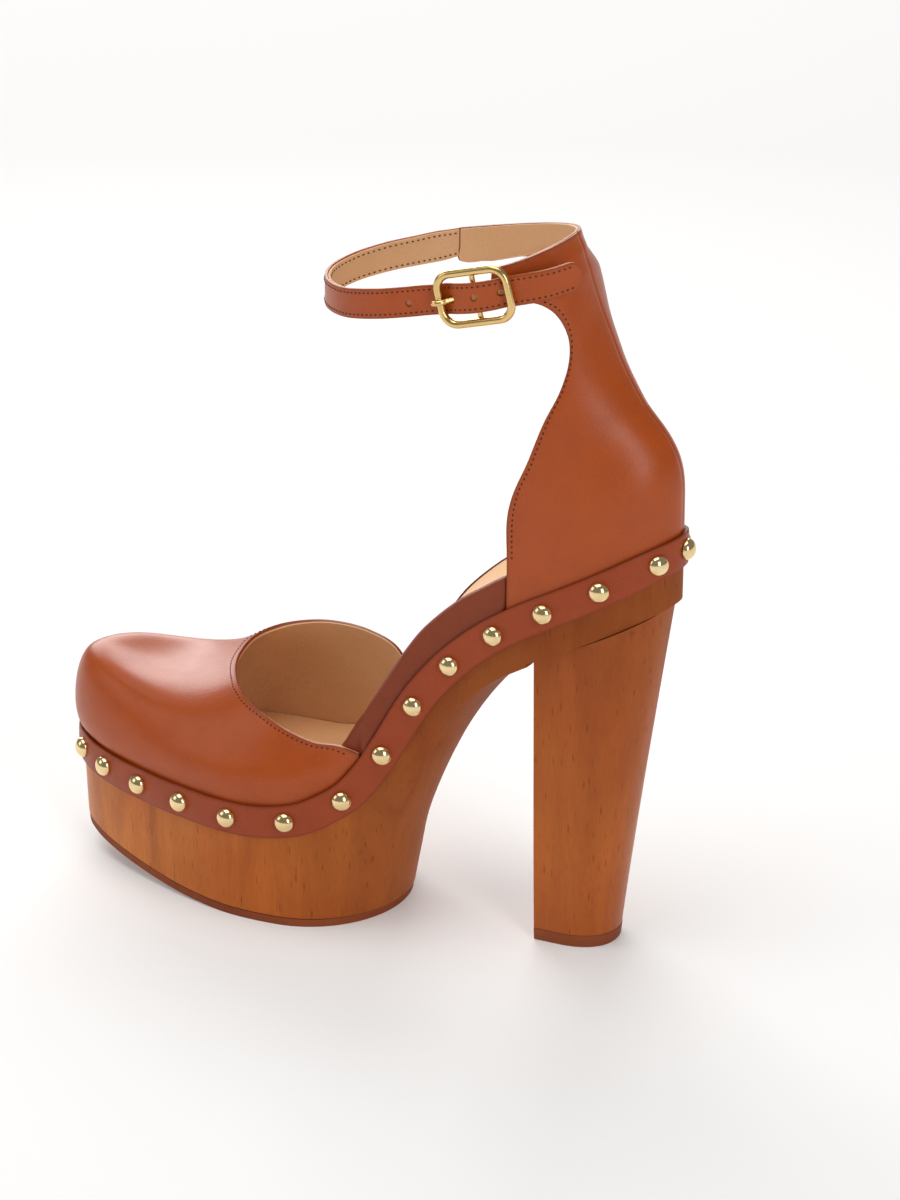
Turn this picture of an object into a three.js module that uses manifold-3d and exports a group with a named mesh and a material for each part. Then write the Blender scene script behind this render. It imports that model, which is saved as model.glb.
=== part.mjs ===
// Platform pump, left shoe, with a studded band, an open arch and a buckled ankle strap.
// Millimetres, +Z up. The toe points to -Y and the outer side is +X.
// The origin is on the floor under the ball of the foot, on the centre line of the heel.
import * as THREE from 'three';
import { mergeVertices } from 'three/addons/utils/BufferGeometryUtils.js';
import Module from 'manifold-3d';

const wasm = await Module();
wasm.setup();

// Driving dimensions
const TOE_Y = -80.3; // front of the last, from the ball
const HEEL_Y = 143.2; // back of the last, from the ball
const OUTER_BALL = 36.4; // half-width at the ball, outer side
const INNER_BALL = 38.5; // half-width at the ball, inner side
const PLATFORM_Z = 38; // middle of the band at the ball
const SEAT_Z = 145.2; // middle of the band at the back of the heel
const TOE_SPRING = 10; // rise of the sole's underside at the toe
const SPRING_Y = -6; // where the underside starts to rise
const OUTSOLE = 2.8; // thickness of the outsole
const LIFT = 4.6; // thickness of the heel's top lift
const INSOLE = 2.6; // thickness of the insole board
const GAP = 0.3; // clearance between curved pieces
const WALL = 1.8; // upper leather with its lining
const BAND_WIDTH = 11.6;
const BAND_THICK = 1.5;
const SIDE_INSET = 1.3; // how far the platform's foot lies inside its top
const REAR_CENTRE_Y = 10.8; // where the platform's rounded rear begins, at the floor
const REAR_Y = 44.8; // back of the platform at the floor
const TOE_BULGE = 9; // outward pull of the vamp's wall at the toe
const TOE_TUCK = -5; // pull above that bulge, back towards the foot
const TOE_SHARE = 0.45; // share of each side of the vamp that the toe's shape reaches
const STUD_RADIUS = 3.6;
const STUD_HEIGHT = 2.3;
const STUD_GAP = 0.42; // under the flat back, as the band curves
const STUD_PITCH = 20.9; // along the band
const STUD_BACK = 12.5; // from the stud on the back seam to its neighbours
const FIRST_SHIFTED = 15; // nail at the toe, the first that is set off the even pitch
const STUD_SHIFTS = [2.4, -2.9, -4.4, -4.2, -4.1, -3.0, -2.3, -0.8]; // along the band, from that nail
const HEEL_FRONT_Y = 97.2; // breast of the heel at the floor
const HEEL_FOOT = 12.8; // half-width of the heel at the floor
const HEEL_FOOT_DEPTH = 25.8; // length of the heel at the floor
const HEEL_TOP = 21.3; // half-width of the heel under the seat
const HEEL_TOP_DEPTH = 41; // length of the heel under the seat
const HEEL_TOP_Z = 128; // height at which the heel has that size
const JOINT_Y = 97.6; // front of the joint between seat board and heel
const JOINT_Z = 105.4; // height of that front
const JOINT_SLOPE = 0.475; // rise of the joint for each mm to the back
const STRAP_WIDTH = 9.8;
const STRAP_THICK = 2.0;
const WIRE = 1.35; // radius of the buckle's wire
const BUCKLE_LENGTH = 27;
const BUCKLE_HEIGHT = 19.5;
const BUCKLE_CORNER = 5;
const PRONG = 0.9; // radius of the prong
const HOLE = 1.2; // radius of the strap's holes
const HOLE_GAP = 0.35; // between the prong and its hole
const STRAP_HOLES = [-24.2, 0.4, 9.0]; // places of the open holes from the middle bar, along the strap

const LENGTH = HEEL_Y - TOE_Y;
const SEAT_RISE = SEAT_Z - PLATFORM_Z;

// Plan outline of the last, at the inner face of the band.
// along: share of the length from toe to heel; half: share of the half-width at the ball
const OUTER_PLAN = [
  { along: 0.000, half: -0.190 },
  { along: 0.015, half: 0.040 },
  { along: 0.045, half: 0.230 },
  { along: 0.090, half: 0.410 },
  { along: 0.165, half: 0.635 },
  { along: 0.250, half: 0.840 },
  { along: 0.340, half: 0.980 },
  { along: 0.420, half: 1.000 },
  { along: 0.475, half: 0.950 },
  { along: 0.520, half: 0.840 },
  { along: 0.570, half: 0.715 },
  { along: 0.625, half: 0.635 },
  { along: 0.690, half: 0.605 },
  { along: 0.760, half: 0.618 },
  { along: 0.840, half: 0.618 },
  { along: 0.905, half: 0.545 },
  { along: 0.955, half: 0.405 },
  { along: 0.988, half: 0.205 },
  { along: 1.000, half: 0.000 }
];
const INNER_PLAN = [
  { along: 0.012, half: 0.370 },
  { along: 0.045, half: 0.590 },
  { along: 0.100, half: 0.780 },
  { along: 0.180, half: 0.925 },
  { along: 0.270, half: 1.000 },
  { along: 0.340, half: 0.990 },
  { along: 0.410, half: 0.920 },
  { along: 0.480, half: 0.800 },
  { along: 0.550, half: 0.640 },
  { along: 0.620, half: 0.535 },
  { along: 0.690, half: 0.510 },
  { along: 0.770, half: 0.545 },
  { along: 0.845, half: 0.580 },
  { along: 0.905, half: 0.515 },
  { along: 0.955, half: 0.383 },
  { along: 0.988, half: 0.194 }
];

// Height of the band's middle. rise: share of the climb from platform to seat
const BAND_LINE = [
  { along: 0.000, rise: 0.018 },
  { along: 0.090, rise: 0.000 },
  { along: 0.270, rise: -0.002 },
  { along: 0.360, rise: 0.000 },
  { along: 0.420, rise: 0.015 },
  { along: 0.460, rise: 0.039 },
  { along: 0.496, rise: 0.080 },
  { along: 0.522, rise: 0.119 },
  { along: 0.550, rise: 0.190 },
  { along: 0.582, rise: 0.302 },
  { along: 0.610, rise: 0.408 },
  { along: 0.637, rise: 0.494 },
  { along: 0.680, rise: 0.597 },
  { along: 0.730, rise: 0.688 },
  { along: 0.787, rise: 0.768 },
  { along: 0.846, rise: 0.835 },
  { along: 0.907, rise: 0.902 },
  { along: 0.960, rise: 0.962 },
  { along: 1.000, rise: 1.000 }
];

// Height of the footbed's edge, in the same shares
const FOOTBED_LINE = [
  { along: 0.000, rise: 0.062 },
  { along: 0.200, rise: 0.058 },
  { along: 0.370, rise: 0.064 },
  { along: 0.420, rise: 0.086 },
  { along: 0.460, rise: 0.130 },
  { along: 0.495, rise: 0.205 },
  { along: 0.523, rise: 0.295 },
  { along: 0.558, rise: 0.432 },
  { along: 0.601, rise: 0.594 },
  { along: 0.632, rise: 0.687 },
  { along: 0.682, rise: 0.789 },
  { along: 0.724, rise: 0.852 },
  { along: 0.761, rise: 0.901 },
  { along: 0.830, rise: 0.968 },
  { along: 0.900, rise: 1.020 },
  { along: 1.000, rise: 1.070 }
];

// Rear of the platform and underside of the arch, on the centre line.
// back: mm behind the platform's rear at the floor; bow: depth of the rounding across
const ARCH = [
  { z: -2, back: -0.2, bow: 34 },
  { z: 17, back: 3.5, bow: 37 },
  { z: 30, back: 6.2, bow: 38 },
  { z: 43, back: 10.7, bow: 38 },
  { z: 58, back: 17.2, bow: 30 },
  { z: 73, back: 25.2, bow: 17 },
  { z: 87, back: 35.0, bow: 8 },
  { z: 98, back: 45.5, bow: 4 },
  { z: 105.1, back: 56.0, bow: 2 }
];

// Throat of the vamp, from the outer wing round the front to the inner wing.
// across: share of the half-width at the ball; up: mm above the band's middle at the ball
const THROAT = [
  { across: 0.860, y: 33.3, up: 30.6 },
  { across: 0.885, y: 25.6, up: 30.8 },
  { across: 0.850, y: 15.4, up: 32.7 },
  { across: 0.760, y: 6.4, up: 34.9 },
  { across: 0.610, y: -3.4, up: 37.0 },
  { across: 0.390, y: -10.9, up: 38.8 },
  { across: 0.060, y: -17.6, up: 39.8 },
  { across: -0.240, y: -21.0, up: 40.4 },
  { across: -0.560, y: -20.6, up: 42.2 },
  { across: -0.760, y: -14.8, up: 44.0 },
  { across: -0.865, y: -2.8, up: 46.0 },
  { across: -0.890, y: 8.0, up: 46.2 },
  { across: -0.870, y: 18.5, up: 45.0 },
  { across: -0.810, y: 29.0, up: 41.5 }
];
const OUTER_WING_Y = 40.3; // where the vamp's outer wing runs under the band
const INNER_WING_Y = 40.3;

// Levels of the counter, from the seat to the collar.
// seamY, seamZ: on the back seam; x, y, z: where the level ends in front, on each side
const COUNTER = [
  { seamY: 143.4, seamZ: 160, outer: [23.4, 90.2, 139], inner: [-22.4, 90.2, 139] },
  { seamY: 140.9, seamZ: 171, outer: [23.6, 90.2, 151], inner: [-22.6, 90.2, 151] },
  { seamY: 135.8, seamZ: 182.5, outer: [23.0, 92.8, 163], inner: [-22.2, 92.8, 163] },
  { seamY: 128.4, seamZ: 194, outer: [22.0, 97.6, 176.5], inner: [-21.4, 97.6, 176.5] },
  { seamY: 122.1, seamZ: 205, outer: [20.4, 102.2, 189.5], inner: [-20.0, 102.2, 189.5] },
  { seamY: 117.8, seamZ: 215, outer: [18.2, 107.0, 200.5], inner: [-18.0, 106.2, 200.5] },
  { seamY: 114.5, seamZ: 223, outer: [16.6, 109.3, 210.5], inner: [-16.4, 108.6, 210.5] },
  { seamY: 112.5, seamZ: 228.5, outer: [16.4, 108.8, 218.5], inner: [-16.4, 108.2, 218.5] },
  { seamY: 111.0, seamZ: 233, outer: [18.0, 105.6, 225.5], inner: [-18.0, 105.6, 225.5] },
  { seamY: 110.0, seamZ: 236.2, outer: [20.6, 101.8, 229.2], inner: [-20.8, 101.6, 228.6] },
  { seamY: 109.1, seamZ: 238.6, outer: [22.8, 96.6, 230.6], inner: [-24.6, 91.0, 229.8] },
  { seamY: 108.4, seamZ: 240.8, outer: [23.4, 90.0, 230.2], inner: [-28.4, 72.0, 227.6] },
  { seamY: 107.8, seamZ: 242.8, outer: [23.7, 85.6, 229.8], inner: [-29.0, 53.0, 223.8] },
  { seamY: 106.6, seamZ: 245.4, outer: [23.8, 85.2, 235.0], inner: [-29.0, 53.0, 229.4] },
  { seamY: 105.6, seamZ: 248.2, outer: [23.9, 85.6, 240.8], inner: [-29.0, 53.0, 235.0] }
];
const COUNTER_FRONT_Y = 90.6; // where the counter's front edges run under the band

// Middle line of the ankle strap, from its seam on the inner side round the front to its tip
const STRAP = [
  [-29.0, 52.6, 229.7],
  [-28.0, 40.0, 225.9],
  [-24.2, 28.4, 222.9],
  [-16.4, 20.4, 220.8],
  [-5.0, 17.4, 219.7],
  [8.0, 21.6, 219.9],
  [18.4, 32.0, 221.1],
  [24.2, 46.0, 224.1],
  [25.4, 56.0, 226.3],
  [25.6, 64.0, 228.1],
  [25.7, 69.2, 229.1],
  [26.2, 71.9, 229.8],
  [27.9, 75.4, 230.7],
  [29.1, 81.4, 232.1],
  [27.9, 87.4, 233.5],
  [26.1, 90.9, 234.3],
  [25.5, 93.6, 234.9],
  [22.6, 104.6, 237.6],
  [14.0, 112.6, 239.8]
];

const BUCKLE_AT = new THREE.Vector3(28.4, 81.4, 232.1);
const BUCKLE_TILT = 0.245; // the strap's climb towards the heel
const BAR_DROP = 1.5; // the middle bar lies this far behind the frame

// Materials
const leather = new THREE.MeshStandardMaterial({ color: 0x9c4a1e, roughness: 0.45 });
const darkLeather = new THREE.MeshStandardMaterial({ color: 0x8a3f1b, roughness: 0.5 });
const lining = new THREE.MeshStandardMaterial({ color: 0xc79a6c, roughness: 0.7 });
const wood = new THREE.MeshStandardMaterial({ color: 0xa9602c, roughness: 0.35 });
const rubber = new THREE.MeshStandardMaterial({ color: 0x6e3a22, roughness: 0.7 });
const brass = new THREE.MeshStandardMaterial({ color: 0xc9a24a, roughness: 0.25, metalness: 1 });

// Curve helpers
function lerp(a, b, t) {
  return a + (b - a) * t;
}

function smooth(t) {
  const c = Math.min(Math.max(t, 0), 1);
  return c * c * (3 - 2 * c);
}

// Value of a table's column at a place, on a smooth curve through its rows
function column(rows, key, name, at) {
  const last = rows.length - 1;
  const place = Math.min(Math.max(at, rows[0][key]), rows[last][key]);
  let i = 0;
  while (i < last - 1 && place > rows[i + 1][key]) {
    i += 1;
  }
  const slope = (k) => {
    const a = rows[Math.max(k - 1, 0)];
    const b = rows[Math.min(k + 1, last)];
    return (b[name] - a[name]) / (b[key] - a[key]);
  };
  const span = rows[i + 1][key] - rows[i][key];
  const t = (place - rows[i][key]) / span;
  const rise = rows[i + 1][name] - rows[i][name];
  const a = slope(i) * span - rise;
  const b = rise - slope(i + 1) * span;
  return lerp(rows[i][name], rows[i + 1][name], t) + t * (1 - t) * (a * (1 - t) + b * t);
}

function shareOf(y) {
  return (y - TOE_Y) / LENGTH;
}

function bandZ(y) {
  return PLATFORM_Z + SEAT_RISE * column(BAND_LINE, 'along', 'rise', shareOf(y));
}

function footbedZ(y) {
  return PLATFORM_Z + SEAT_RISE * column(FOOTBED_LINE, 'along', 'rise', shareOf(y));
}

// Upright distance that makes a given distance across a line's slope
function upright(line, y, across) {
  const step = 0.5;
  const slope = (line(y + step) - line(y - step)) / (2 * step);
  return across * Math.sqrt(1 + slope * slope);
}

function springZ(y) {
  const share = Math.max(SPRING_Y - y, 0) / (SPRING_Y - TOE_Y);
  return TOE_SPRING * Math.pow(share, 1.65);
}

// The last's outline as a closed curve, from the toe round the outer side, the heel and the inner side
const outlinePoints = [];
for (const row of OUTER_PLAN) {
  outlinePoints.push(new THREE.Vector3(row.half * OUTER_BALL, TOE_Y + row.along * LENGTH, 0));
}
for (const row of [...INNER_PLAN].reverse()) {
  outlinePoints.push(new THREE.Vector3(-row.half * INNER_BALL, TOE_Y + row.along * LENGTH, 0));
}
const outline = new THREE.CatmullRomCurve3(outlinePoints, true, 'centripetal');
outline.arcLengthDivisions = 800;
const OUTLINE_LENGTH = outline.getLength();

// A point at arc length a round the outline, moved outwards by d
function onOutline(a, d, z) {
  const u = ((a / OUTLINE_LENGTH) % 1 + 1) % 1;
  const p = outline.getPointAt(u);
  const t = outline.getTangentAt(u);
  return new THREE.Vector3(p.x + t.y * d, p.y - t.x * d, z === undefined ? 0 : z);
}

// Arc length of the heel's back, and of the place on one side with a given y
function findArc(y, from, to) {
  let low = from;
  let high = to;
  for (let i = 0; i < 40; i += 1) {
    const mid = (low + high) / 2;
    const below = outline.getPointAt(((mid / OUTLINE_LENGTH) % 1 + 1) % 1).y < y;
    if (below === (to > from)) {
      low = mid;
    } else {
      high = mid;
    }
  }
  return (low + high) / 2;
}

let backArc = 0;
let toeArc = 0;
for (let a = 0; a < OUTLINE_LENGTH; a += 0.25) {
  if (onOutline(a, 0).y > onOutline(backArc, 0).y) {
    backArc = a;
  }
  if (onOutline(a, 0).y < onOutline(toeArc, 0).y) {
    toeArc = a;
  }
}
toeArc = toeArc > OUTLINE_LENGTH / 2 ? toeArc - OUTLINE_LENGTH : toeArc;

function outerArc(y) {
  return findArc(y, toeArc, backArc);
}

function innerArc(y) {
  let low = backArc;
  let high = toeArc + OUTLINE_LENGTH;
  for (let i = 0; i < 40; i += 1) {
    const mid = (low + high) / 2;
    if (onOutline(mid, 0).y > y) {
      low = mid;
    } else {
      high = mid;
    }
  }
  return (low + high) / 2;
}

// Mesh helpers
function geometryOf(points, faces) {
  const geometry = new THREE.BufferGeometry();
  const array = new Float32Array(points.length * 3);
  points.forEach((p, i) => array.set([p.x, p.y, p.z], i * 3));
  geometry.setAttribute('position', new THREE.BufferAttribute(array, 3));
  geometry.setIndex(faces.flat());
  return geometry;
}

function volumeOf(points, faces) {
  let sum = 0;
  for (const [a, b, c] of faces) {
    sum += points[a].dot(new THREE.Vector3().crossVectors(points[b], points[c]));
  }
  return sum / 6;
}

// Turns every face round if the body is inside out
function facingOut(points, faces) {
  return volumeOf(points, faces) < 0 ? faces.map(([a, b, c]) => [a, c, b]) : faces;
}

// A solid through rings of equally many points, with a flat fan at each end
function loft(rings) {
  const count = rings[0].length;
  const points = rings.flat();
  const faces = [];
  for (let i = 0; i < rings.length - 1; i += 1) {
    for (let j = 0; j < count; j += 1) {
      const a = i * count + j;
      const b = i * count + (j + 1) % count;
      faces.push([a, b, b + count], [a, b + count, a + count]);
    }
  }
  for (const [ring, base, turned] of [[rings[0], 0, true], [rings.at(-1), points.length - count, false]]) {
    const middle = ring.reduce((s, p) => s.add(p), new THREE.Vector3()).divideScalar(count);
    points.push(middle);
    const centre = points.length - 1;
    for (let j = 0; j < count; j += 1) {
      const a = base + j;
      const b = base + (j + 1) % count;
      faces.push(turned ? [b, a, centre] : [a, b, centre]);
    }
  }
  return geometryOf(points, facingOut(points, faces));
}

// A closed wall between two grids of points, joined round their four borders
function wallBetween(outside, inside, closed) {
  const rows = outside.length;
  const cols = outside[0].length;
  const points = [...outside.flat(), ...inside.flat()];
  const shift = rows * cols;
  const faces = [];
  const quad = (a, b, c, d) => faces.push([a, b, c], [a, c, d]);
  const lastCol = closed ? cols : cols - 1;
  for (let i = 0; i < rows - 1; i += 1) {
    for (let j = 0; j < lastCol; j += 1) {
      const k = (j + 1) % cols;
      quad(i * cols + j, i * cols + k, (i + 1) * cols + k, (i + 1) * cols + j);
      quad(shift + i * cols + j, shift + (i + 1) * cols + j, shift + (i + 1) * cols + k, shift + i * cols + k);
    }
    if (!closed) {
      quad(i * cols, (i + 1) * cols, shift + (i + 1) * cols, shift + i * cols);
      const e = cols - 1;
      quad((i + 1) * cols + e, i * cols + e, shift + i * cols + e, shift + (i + 1) * cols + e);
    }
  }
  for (let j = 0; j < lastCol; j += 1) {
    const k = (j + 1) % cols;
    quad(k, j, shift + j, shift + k);
    const top = (rows - 1) * cols;
    quad(top + j, top + k, shift + top + k, shift + top + j);
  }
  return geometryOf(points, facingOut(points, faces));
}

// The grid moved along its own normals by d, towards the side that the given point is on
function offsetGrid(grid, d) {
  const rows = grid.length;
  const cols = grid[0].length;
  return grid.map((row, i) => row.map((p, j) => {
    const up = grid[Math.min(i + 1, rows - 1)][j];
    const down = grid[Math.max(i - 1, 0)][j];
    const right = row[Math.min(j + 1, cols - 1)];
    const left = row[Math.max(j - 1, 0)];
    const along = new THREE.Vector3().subVectors(right, left);
    const normal = new THREE.Vector3().subVectors(up, down).cross(along).normalize();
    return p.clone().addScaledVector(normal, d);
  }));
}

function solidOf(geometry) {
  const bare = geometry.clone();
  bare.deleteAttribute('normal');
  bare.deleteAttribute('uv');
  const merged = mergeVertices(bare, 1e-4);
  return new wasm.Manifold(new wasm.Mesh({
    numProp: 3,
    vertProperties: new Float32Array(merged.attributes.position.array),
    triVerts: new Uint32Array(merged.index.array)
  }));
}

function geometryFrom(solid) {
  const mesh = solid.getMesh();
  const geometry = new THREE.BufferGeometry();
  geometry.setAttribute('position', new THREE.BufferAttribute(new Float32Array(mesh.vertProperties), 3));
  geometry.setIndex(Array.from(mesh.triVerts));
  return geometry;
}

// A prism across the shoe with the side view given as y, z pairs
function sidePrism(pairs, halfWidth) {
  const shape = new THREE.Shape(pairs.map(([y, z]) => new THREE.Vector2(y, z)));
  const geometry = new THREE.ExtrudeGeometry(shape, { depth: 2 * halfWidth, bevelEnabled: false });
  geometry.translate(0, 0, -halfWidth);
  geometry.applyMatrix4(new THREE.Matrix4().set(0, 0, 1, 0, 1, 0, 0, 0, 0, 1, 0, 0, 0, 0, 0, 1));
  return geometry;
}

const shoe = new THREE.Group();
shoe.name = 'platform_pump';

function addPiece(name, geometry, material) {
  const mesh = new THREE.Mesh(geometry, material);
  mesh.name = name;
  shoe.add(mesh);
}

const REBATE = WALL + GAP; // the upper's leather lies in this step of the wood

// Wooden platform, arch and seat board in one piece
function woodSole() {
  const columns = 88;
  const bandFoot = (y) => bandZ(y) - upright(bandZ, y, BAND_WIDTH / 2 - 1.6);
  const rows = [
    { d: -SIDE_INSET, z: () => -4 },
    { d: 0, z: (y) => bandFoot(y) },
    { d: -REBATE, z: (y) => bandFoot(y) + 0.4 },
    { d: -REBATE, z: () => SEAT_Z + 60 }
  ];
  const rings = rows.map((row) => {
    const ring = [];
    for (let i = 0; i < columns; i += 1) {
      const a = (i / columns) * OUTLINE_LENGTH;
      const y = onOutline(a, 0).y;
      ring.push(onOutline(a, row.d, row.z(y)));
    }
    return ring;
  });
  const side = [];
  for (let i = 0; i <= 14; i += 1) {
    const y = lerp(TOE_Y - 6, SPRING_Y, i / 14);
    side.push([y, springZ(y) + OUTSOLE + GAP]);
  }
  side.push([JOINT_Y, OUTSOLE + GAP], [JOINT_Y, JOINT_Z]);
  side.push([HEEL_Y + 8, JOINT_Z + JOINT_SLOPE * (HEEL_Y + 8 - JOINT_Y)]);
  for (const y of [HEEL_Y + 8, ...footbedStations().reverse(), TOE_Y - 6]) {
    side.push([y, footbedZ(y) - upright(footbedZ, y, INSOLE + GAP)]);
  }
  const body = solidOf(loft(rings)).intersect(solidOf(sidePrism(side, 60)));
  return geometryFrom(body.subtract(solidOf(archCutter())));
}

// How far the platform's side lies inside the outline at a height
function sideInset(z) {
  return SIDE_INSET * Math.max(1 - (z + 4) / (PLATFORM_Z - BAND_WIDTH / 2 + 5.6), 0);
}

function rearCurve(z, steps) {
  const back = REAR_Y + column(ARCH, 'z', 'back', z);
  const bow = column(ARCH, 'z', 'bow', z);
  const curve = [];
  const start = back - bow;
  const outer = onOutline(outerArc(start), -sideInset(z) + 0.02).x;
  const inner = -onOutline(innerArc(start), -sideInset(z) + 0.02).x;
  for (let i = 0; i <= steps; i += 1) {
    const turn = Math.PI * (i / steps);
    const half = turn < Math.PI / 2 ? outer : inner;
    curve.push(new THREE.Vector3(half * Math.cos(turn), start + bow * Math.sin(turn), z));
  }
  return curve;
}

// The open space between the platform's rear, the arch and the heel
function archCutter() {
  const rings = [];
  const levels = [-2, 8, 17, 24, 30, 37, 43, 50, 58, 65, 73, 80, 87, 93, 98, 102, 105.1];
  for (const z of levels) {
    const curve = rearCurve(z, 28);
    const start = curve[0].y;
    const ring = [new THREE.Vector3(80, start, z), ...curve, new THREE.Vector3(-80, start, z)];
    ring.push(new THREE.Vector3(-80, 200, z), new THREE.Vector3(80, 200, z));
    rings.push(ring);
  }
  return loftFlat(rings);
}

// A loft whose end caps are cut from a concave outline
function loftFlat(rings) {
  const count = rings[0].length;
  const points = rings.flat();
  const faces = [];
  for (let i = 0; i < rings.length - 1; i += 1) {
    for (let j = 0; j < count; j += 1) {
      const a = i * count + j;
      const b = i * count + (j + 1) % count;
      faces.push([a, b, b + count], [a, b + count, a + count]);
    }
  }
  const flat = (ring) => ring.map((p) => new THREE.Vector2(p.x, p.y));
  for (const [a, b, c] of THREE.ShapeUtils.triangulateShape(flat(rings[0]), [])) {
    faces.push(sameTurn(rings[0], a, b, c) ? [c, b, a] : [a, b, c]);
  }
  const base = points.length - count;
  for (const [a, b, c] of THREE.ShapeUtils.triangulateShape(flat(rings.at(-1)), [])) {
    const turned = sameTurn(rings.at(-1), a, b, c);
    faces.push(turned ? [base + a, base + b, base + c] : [base + c, base + b, base + a]);
  }
  return geometryOf(points, facingOut(points, faces));
}

// Whether a triangle of a ring turns the same way as the ring
function sameTurn(ring, a, b, c) {
  const area = THREE.ShapeUtils.area(ring);
  const triangle = THREE.ShapeUtils.area([ring[a], ring[b], ring[c]]);
  return area * triangle > 0;
}

// Thin outsole under the platform, with the toe spring
function outsole() {
  const steps = 40;
  const reach = SIDE_INSET - 0.2;
  const rungs = [];
  const outerStart = outerArc(REAR_CENTRE_Y);
  const innerStart = innerArc(REAR_CENTRE_Y);
  for (let i = 0; i <= steps; i += 1) {
    const t = i / steps;
    const left = onOutline(lerp(toeArc, outerStart, t), -reach);
    const right = onOutline(lerp(toeArc + OUTLINE_LENGTH, innerStart, t), -reach);
    rungs.push([left, right]);
  }
  const bow = REAR_Y - REAR_CENTRE_Y;
  const [lastLeft, lastRight] = rungs.at(-1);
  for (let i = 1; i <= 16; i += 1) {
    const turn = (Math.PI / 2) * (i / 16);
    const y = REAR_CENTRE_Y + bow * Math.sin(turn);
    const left = new THREE.Vector3(lastLeft.x * Math.cos(turn), y, 0);
    rungs.push([left, new THREE.Vector3(lastRight.x * Math.cos(turn), y, 0)]);
  }
  rungs[0][1] = rungs[0][0].clone();
  const plate = rungs.slice(1, -1);
  const rings = plate.map(([left, right]) => {
    const ring = [];
    for (const [p, lift] of [[left, 0], [right, 0], [right, OUTSOLE], [left, OUTSOLE]]) {
      ring.push(new THREE.Vector3(p.x, p.y, springZ(p.y) + lift));
    }
    return ring;
  });
  return loft(rings);
}

// Outline of the heel at a height: a flat breast and a rounded back
function heelRing(z, grow) {
  const t = z / HEEL_TOP_Z;
  const half = lerp(HEEL_FOOT, HEEL_TOP, Math.pow(t, 0.85)) + grow;
  const depth = lerp(HEEL_FOOT_DEPTH, HEEL_TOP_DEPTH, Math.pow(t, 1.12)) + 2 * grow;
  const front = HEEL_FRONT_Y + 2.2 * t - grow;
  const centre = front + depth * 0.4;
  const ring = [new THREE.Vector3(half * 0.96, front, z)];
  const steps = 22;
  for (let i = 0; i <= steps; i += 1) {
    const turn = Math.PI * (i / steps);
    const c = Math.cos(turn);
    const s = Math.sin(turn);
    const power = 2 / 2.25;
    const x = half * Math.sign(c) * Math.pow(Math.abs(c), power);
    ring.push(new THREE.Vector3(x, centre + depth * 0.6 * Math.pow(s, power), z));
  }
  ring.push(new THREE.Vector3(-half * 0.96, front, z));
  return ring;
}

function heelBlock() {
  const bottom = LIFT + 0.05;
  const top = JOINT_Z + JOINT_SLOPE * (HEEL_Y + 10 - JOINT_Y);
  const rings = [];
  for (let i = 0; i <= 7; i += 1) {
    rings.push(heelRing(lerp(bottom, top, i / 7), 0));
  }
  const under = [
    [HEEL_FRONT_Y - 20, -1],
    [HEEL_FRONT_Y - 20, JOINT_Z - GAP - JOINT_SLOPE * (JOINT_Y - HEEL_FRONT_Y + 20)],
    [HEEL_Y + 10, JOINT_Z - GAP + JOINT_SLOPE * (HEEL_Y + 10 - JOINT_Y)],
    [HEEL_Y + 10, -1]
  ];
  return geometryFrom(solidOf(loft(rings)).intersect(solidOf(sidePrism(under, 60))));
}

function topLift() {
  return loft([heelRing(0, 0.1), heelRing(LIFT, 0.15)]);
}

// Places along the shoe at which the footbed and the wood under it bend
function footbedStations() {
  const steps = 40;
  const stations = [];
  for (let i = 1; i < steps; i += 1) {
    const turn = Math.PI * (i / steps);
    const y = (TOE_Y + HEEL_Y) / 2 - (LENGTH / 2 - REBATE) * Math.cos(turn);
    stations.push(y);
  }
  const ends = [OUTER_WING_Y + 0.5, OUTER_WING_Y + 2, COUNTER_FRONT_Y - 2.8, COUNTER_FRONT_Y - 1.3];
  const kept = stations.filter((y) => ends.every((end) => Math.abs(end - y) > 1));
  return [...kept, ...ends].sort((a, b) => a - b);
}

// Point with a given y on the outline moved outwards by d, on the outer (1) or inner (-1) side
function edgeAt(y, side, d) {
  let low = side > 0 ? toeArc : toeArc + OUTLINE_LENGTH;
  let high = backArc;
  for (let i = 0; i < 40; i += 1) {
    const mid = (low + high) / 2;
    if (onOutline(mid, d).y < y) {
      low = mid;
    } else {
      high = mid;
    }
  }
  return onOutline((low + high) / 2, d);
}

// Footbed board, with the leather edge that shows in the open arch
function insole() {
  const rings = [];
  const open = (y) => smooth((y - OUTER_WING_Y - 0.5) / 1.5) * smooth((COUNTER_FRONT_Y - 1.3 - y) / 1.5);
  for (const y of footbedStations()) {
    const d = lerp(-REBATE, 0, open(y));
    const ends = [edgeAt(y, 1, d), edgeAt(y, -1, d)];
    const section = [];
    for (const across of [0, 0.12, 0.3, 0.7, 0.88, 1]) {
      const p = ends[0].clone().lerp(ends[1], across);
      const dish = 1.4 * Math.sin(Math.PI * across);
      section.push(new THREE.Vector3(p.x, y, footbedZ(y) - dish));
    }
    for (const p of [ends[1], ends[0]]) {
      section.push(new THREE.Vector3(p.x, y, footbedZ(y) - upright(footbedZ, y, INSOLE)));
    }
    rings.push(section);
  }
  const board = solidOf(loft(rings));
  const outerEdge = solidOf(archEdge(outerArc(OUTER_WING_Y + 0.6), outerArc(COUNTER_FRONT_Y - 1.3)));
  const innerEdge = solidOf(archEdge(innerArc(COUNTER_FRONT_Y - 1.3), innerArc(INNER_WING_Y + 0.6)));
  return geometryFrom(board.add(outerEdge).add(innerEdge));
}

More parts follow.
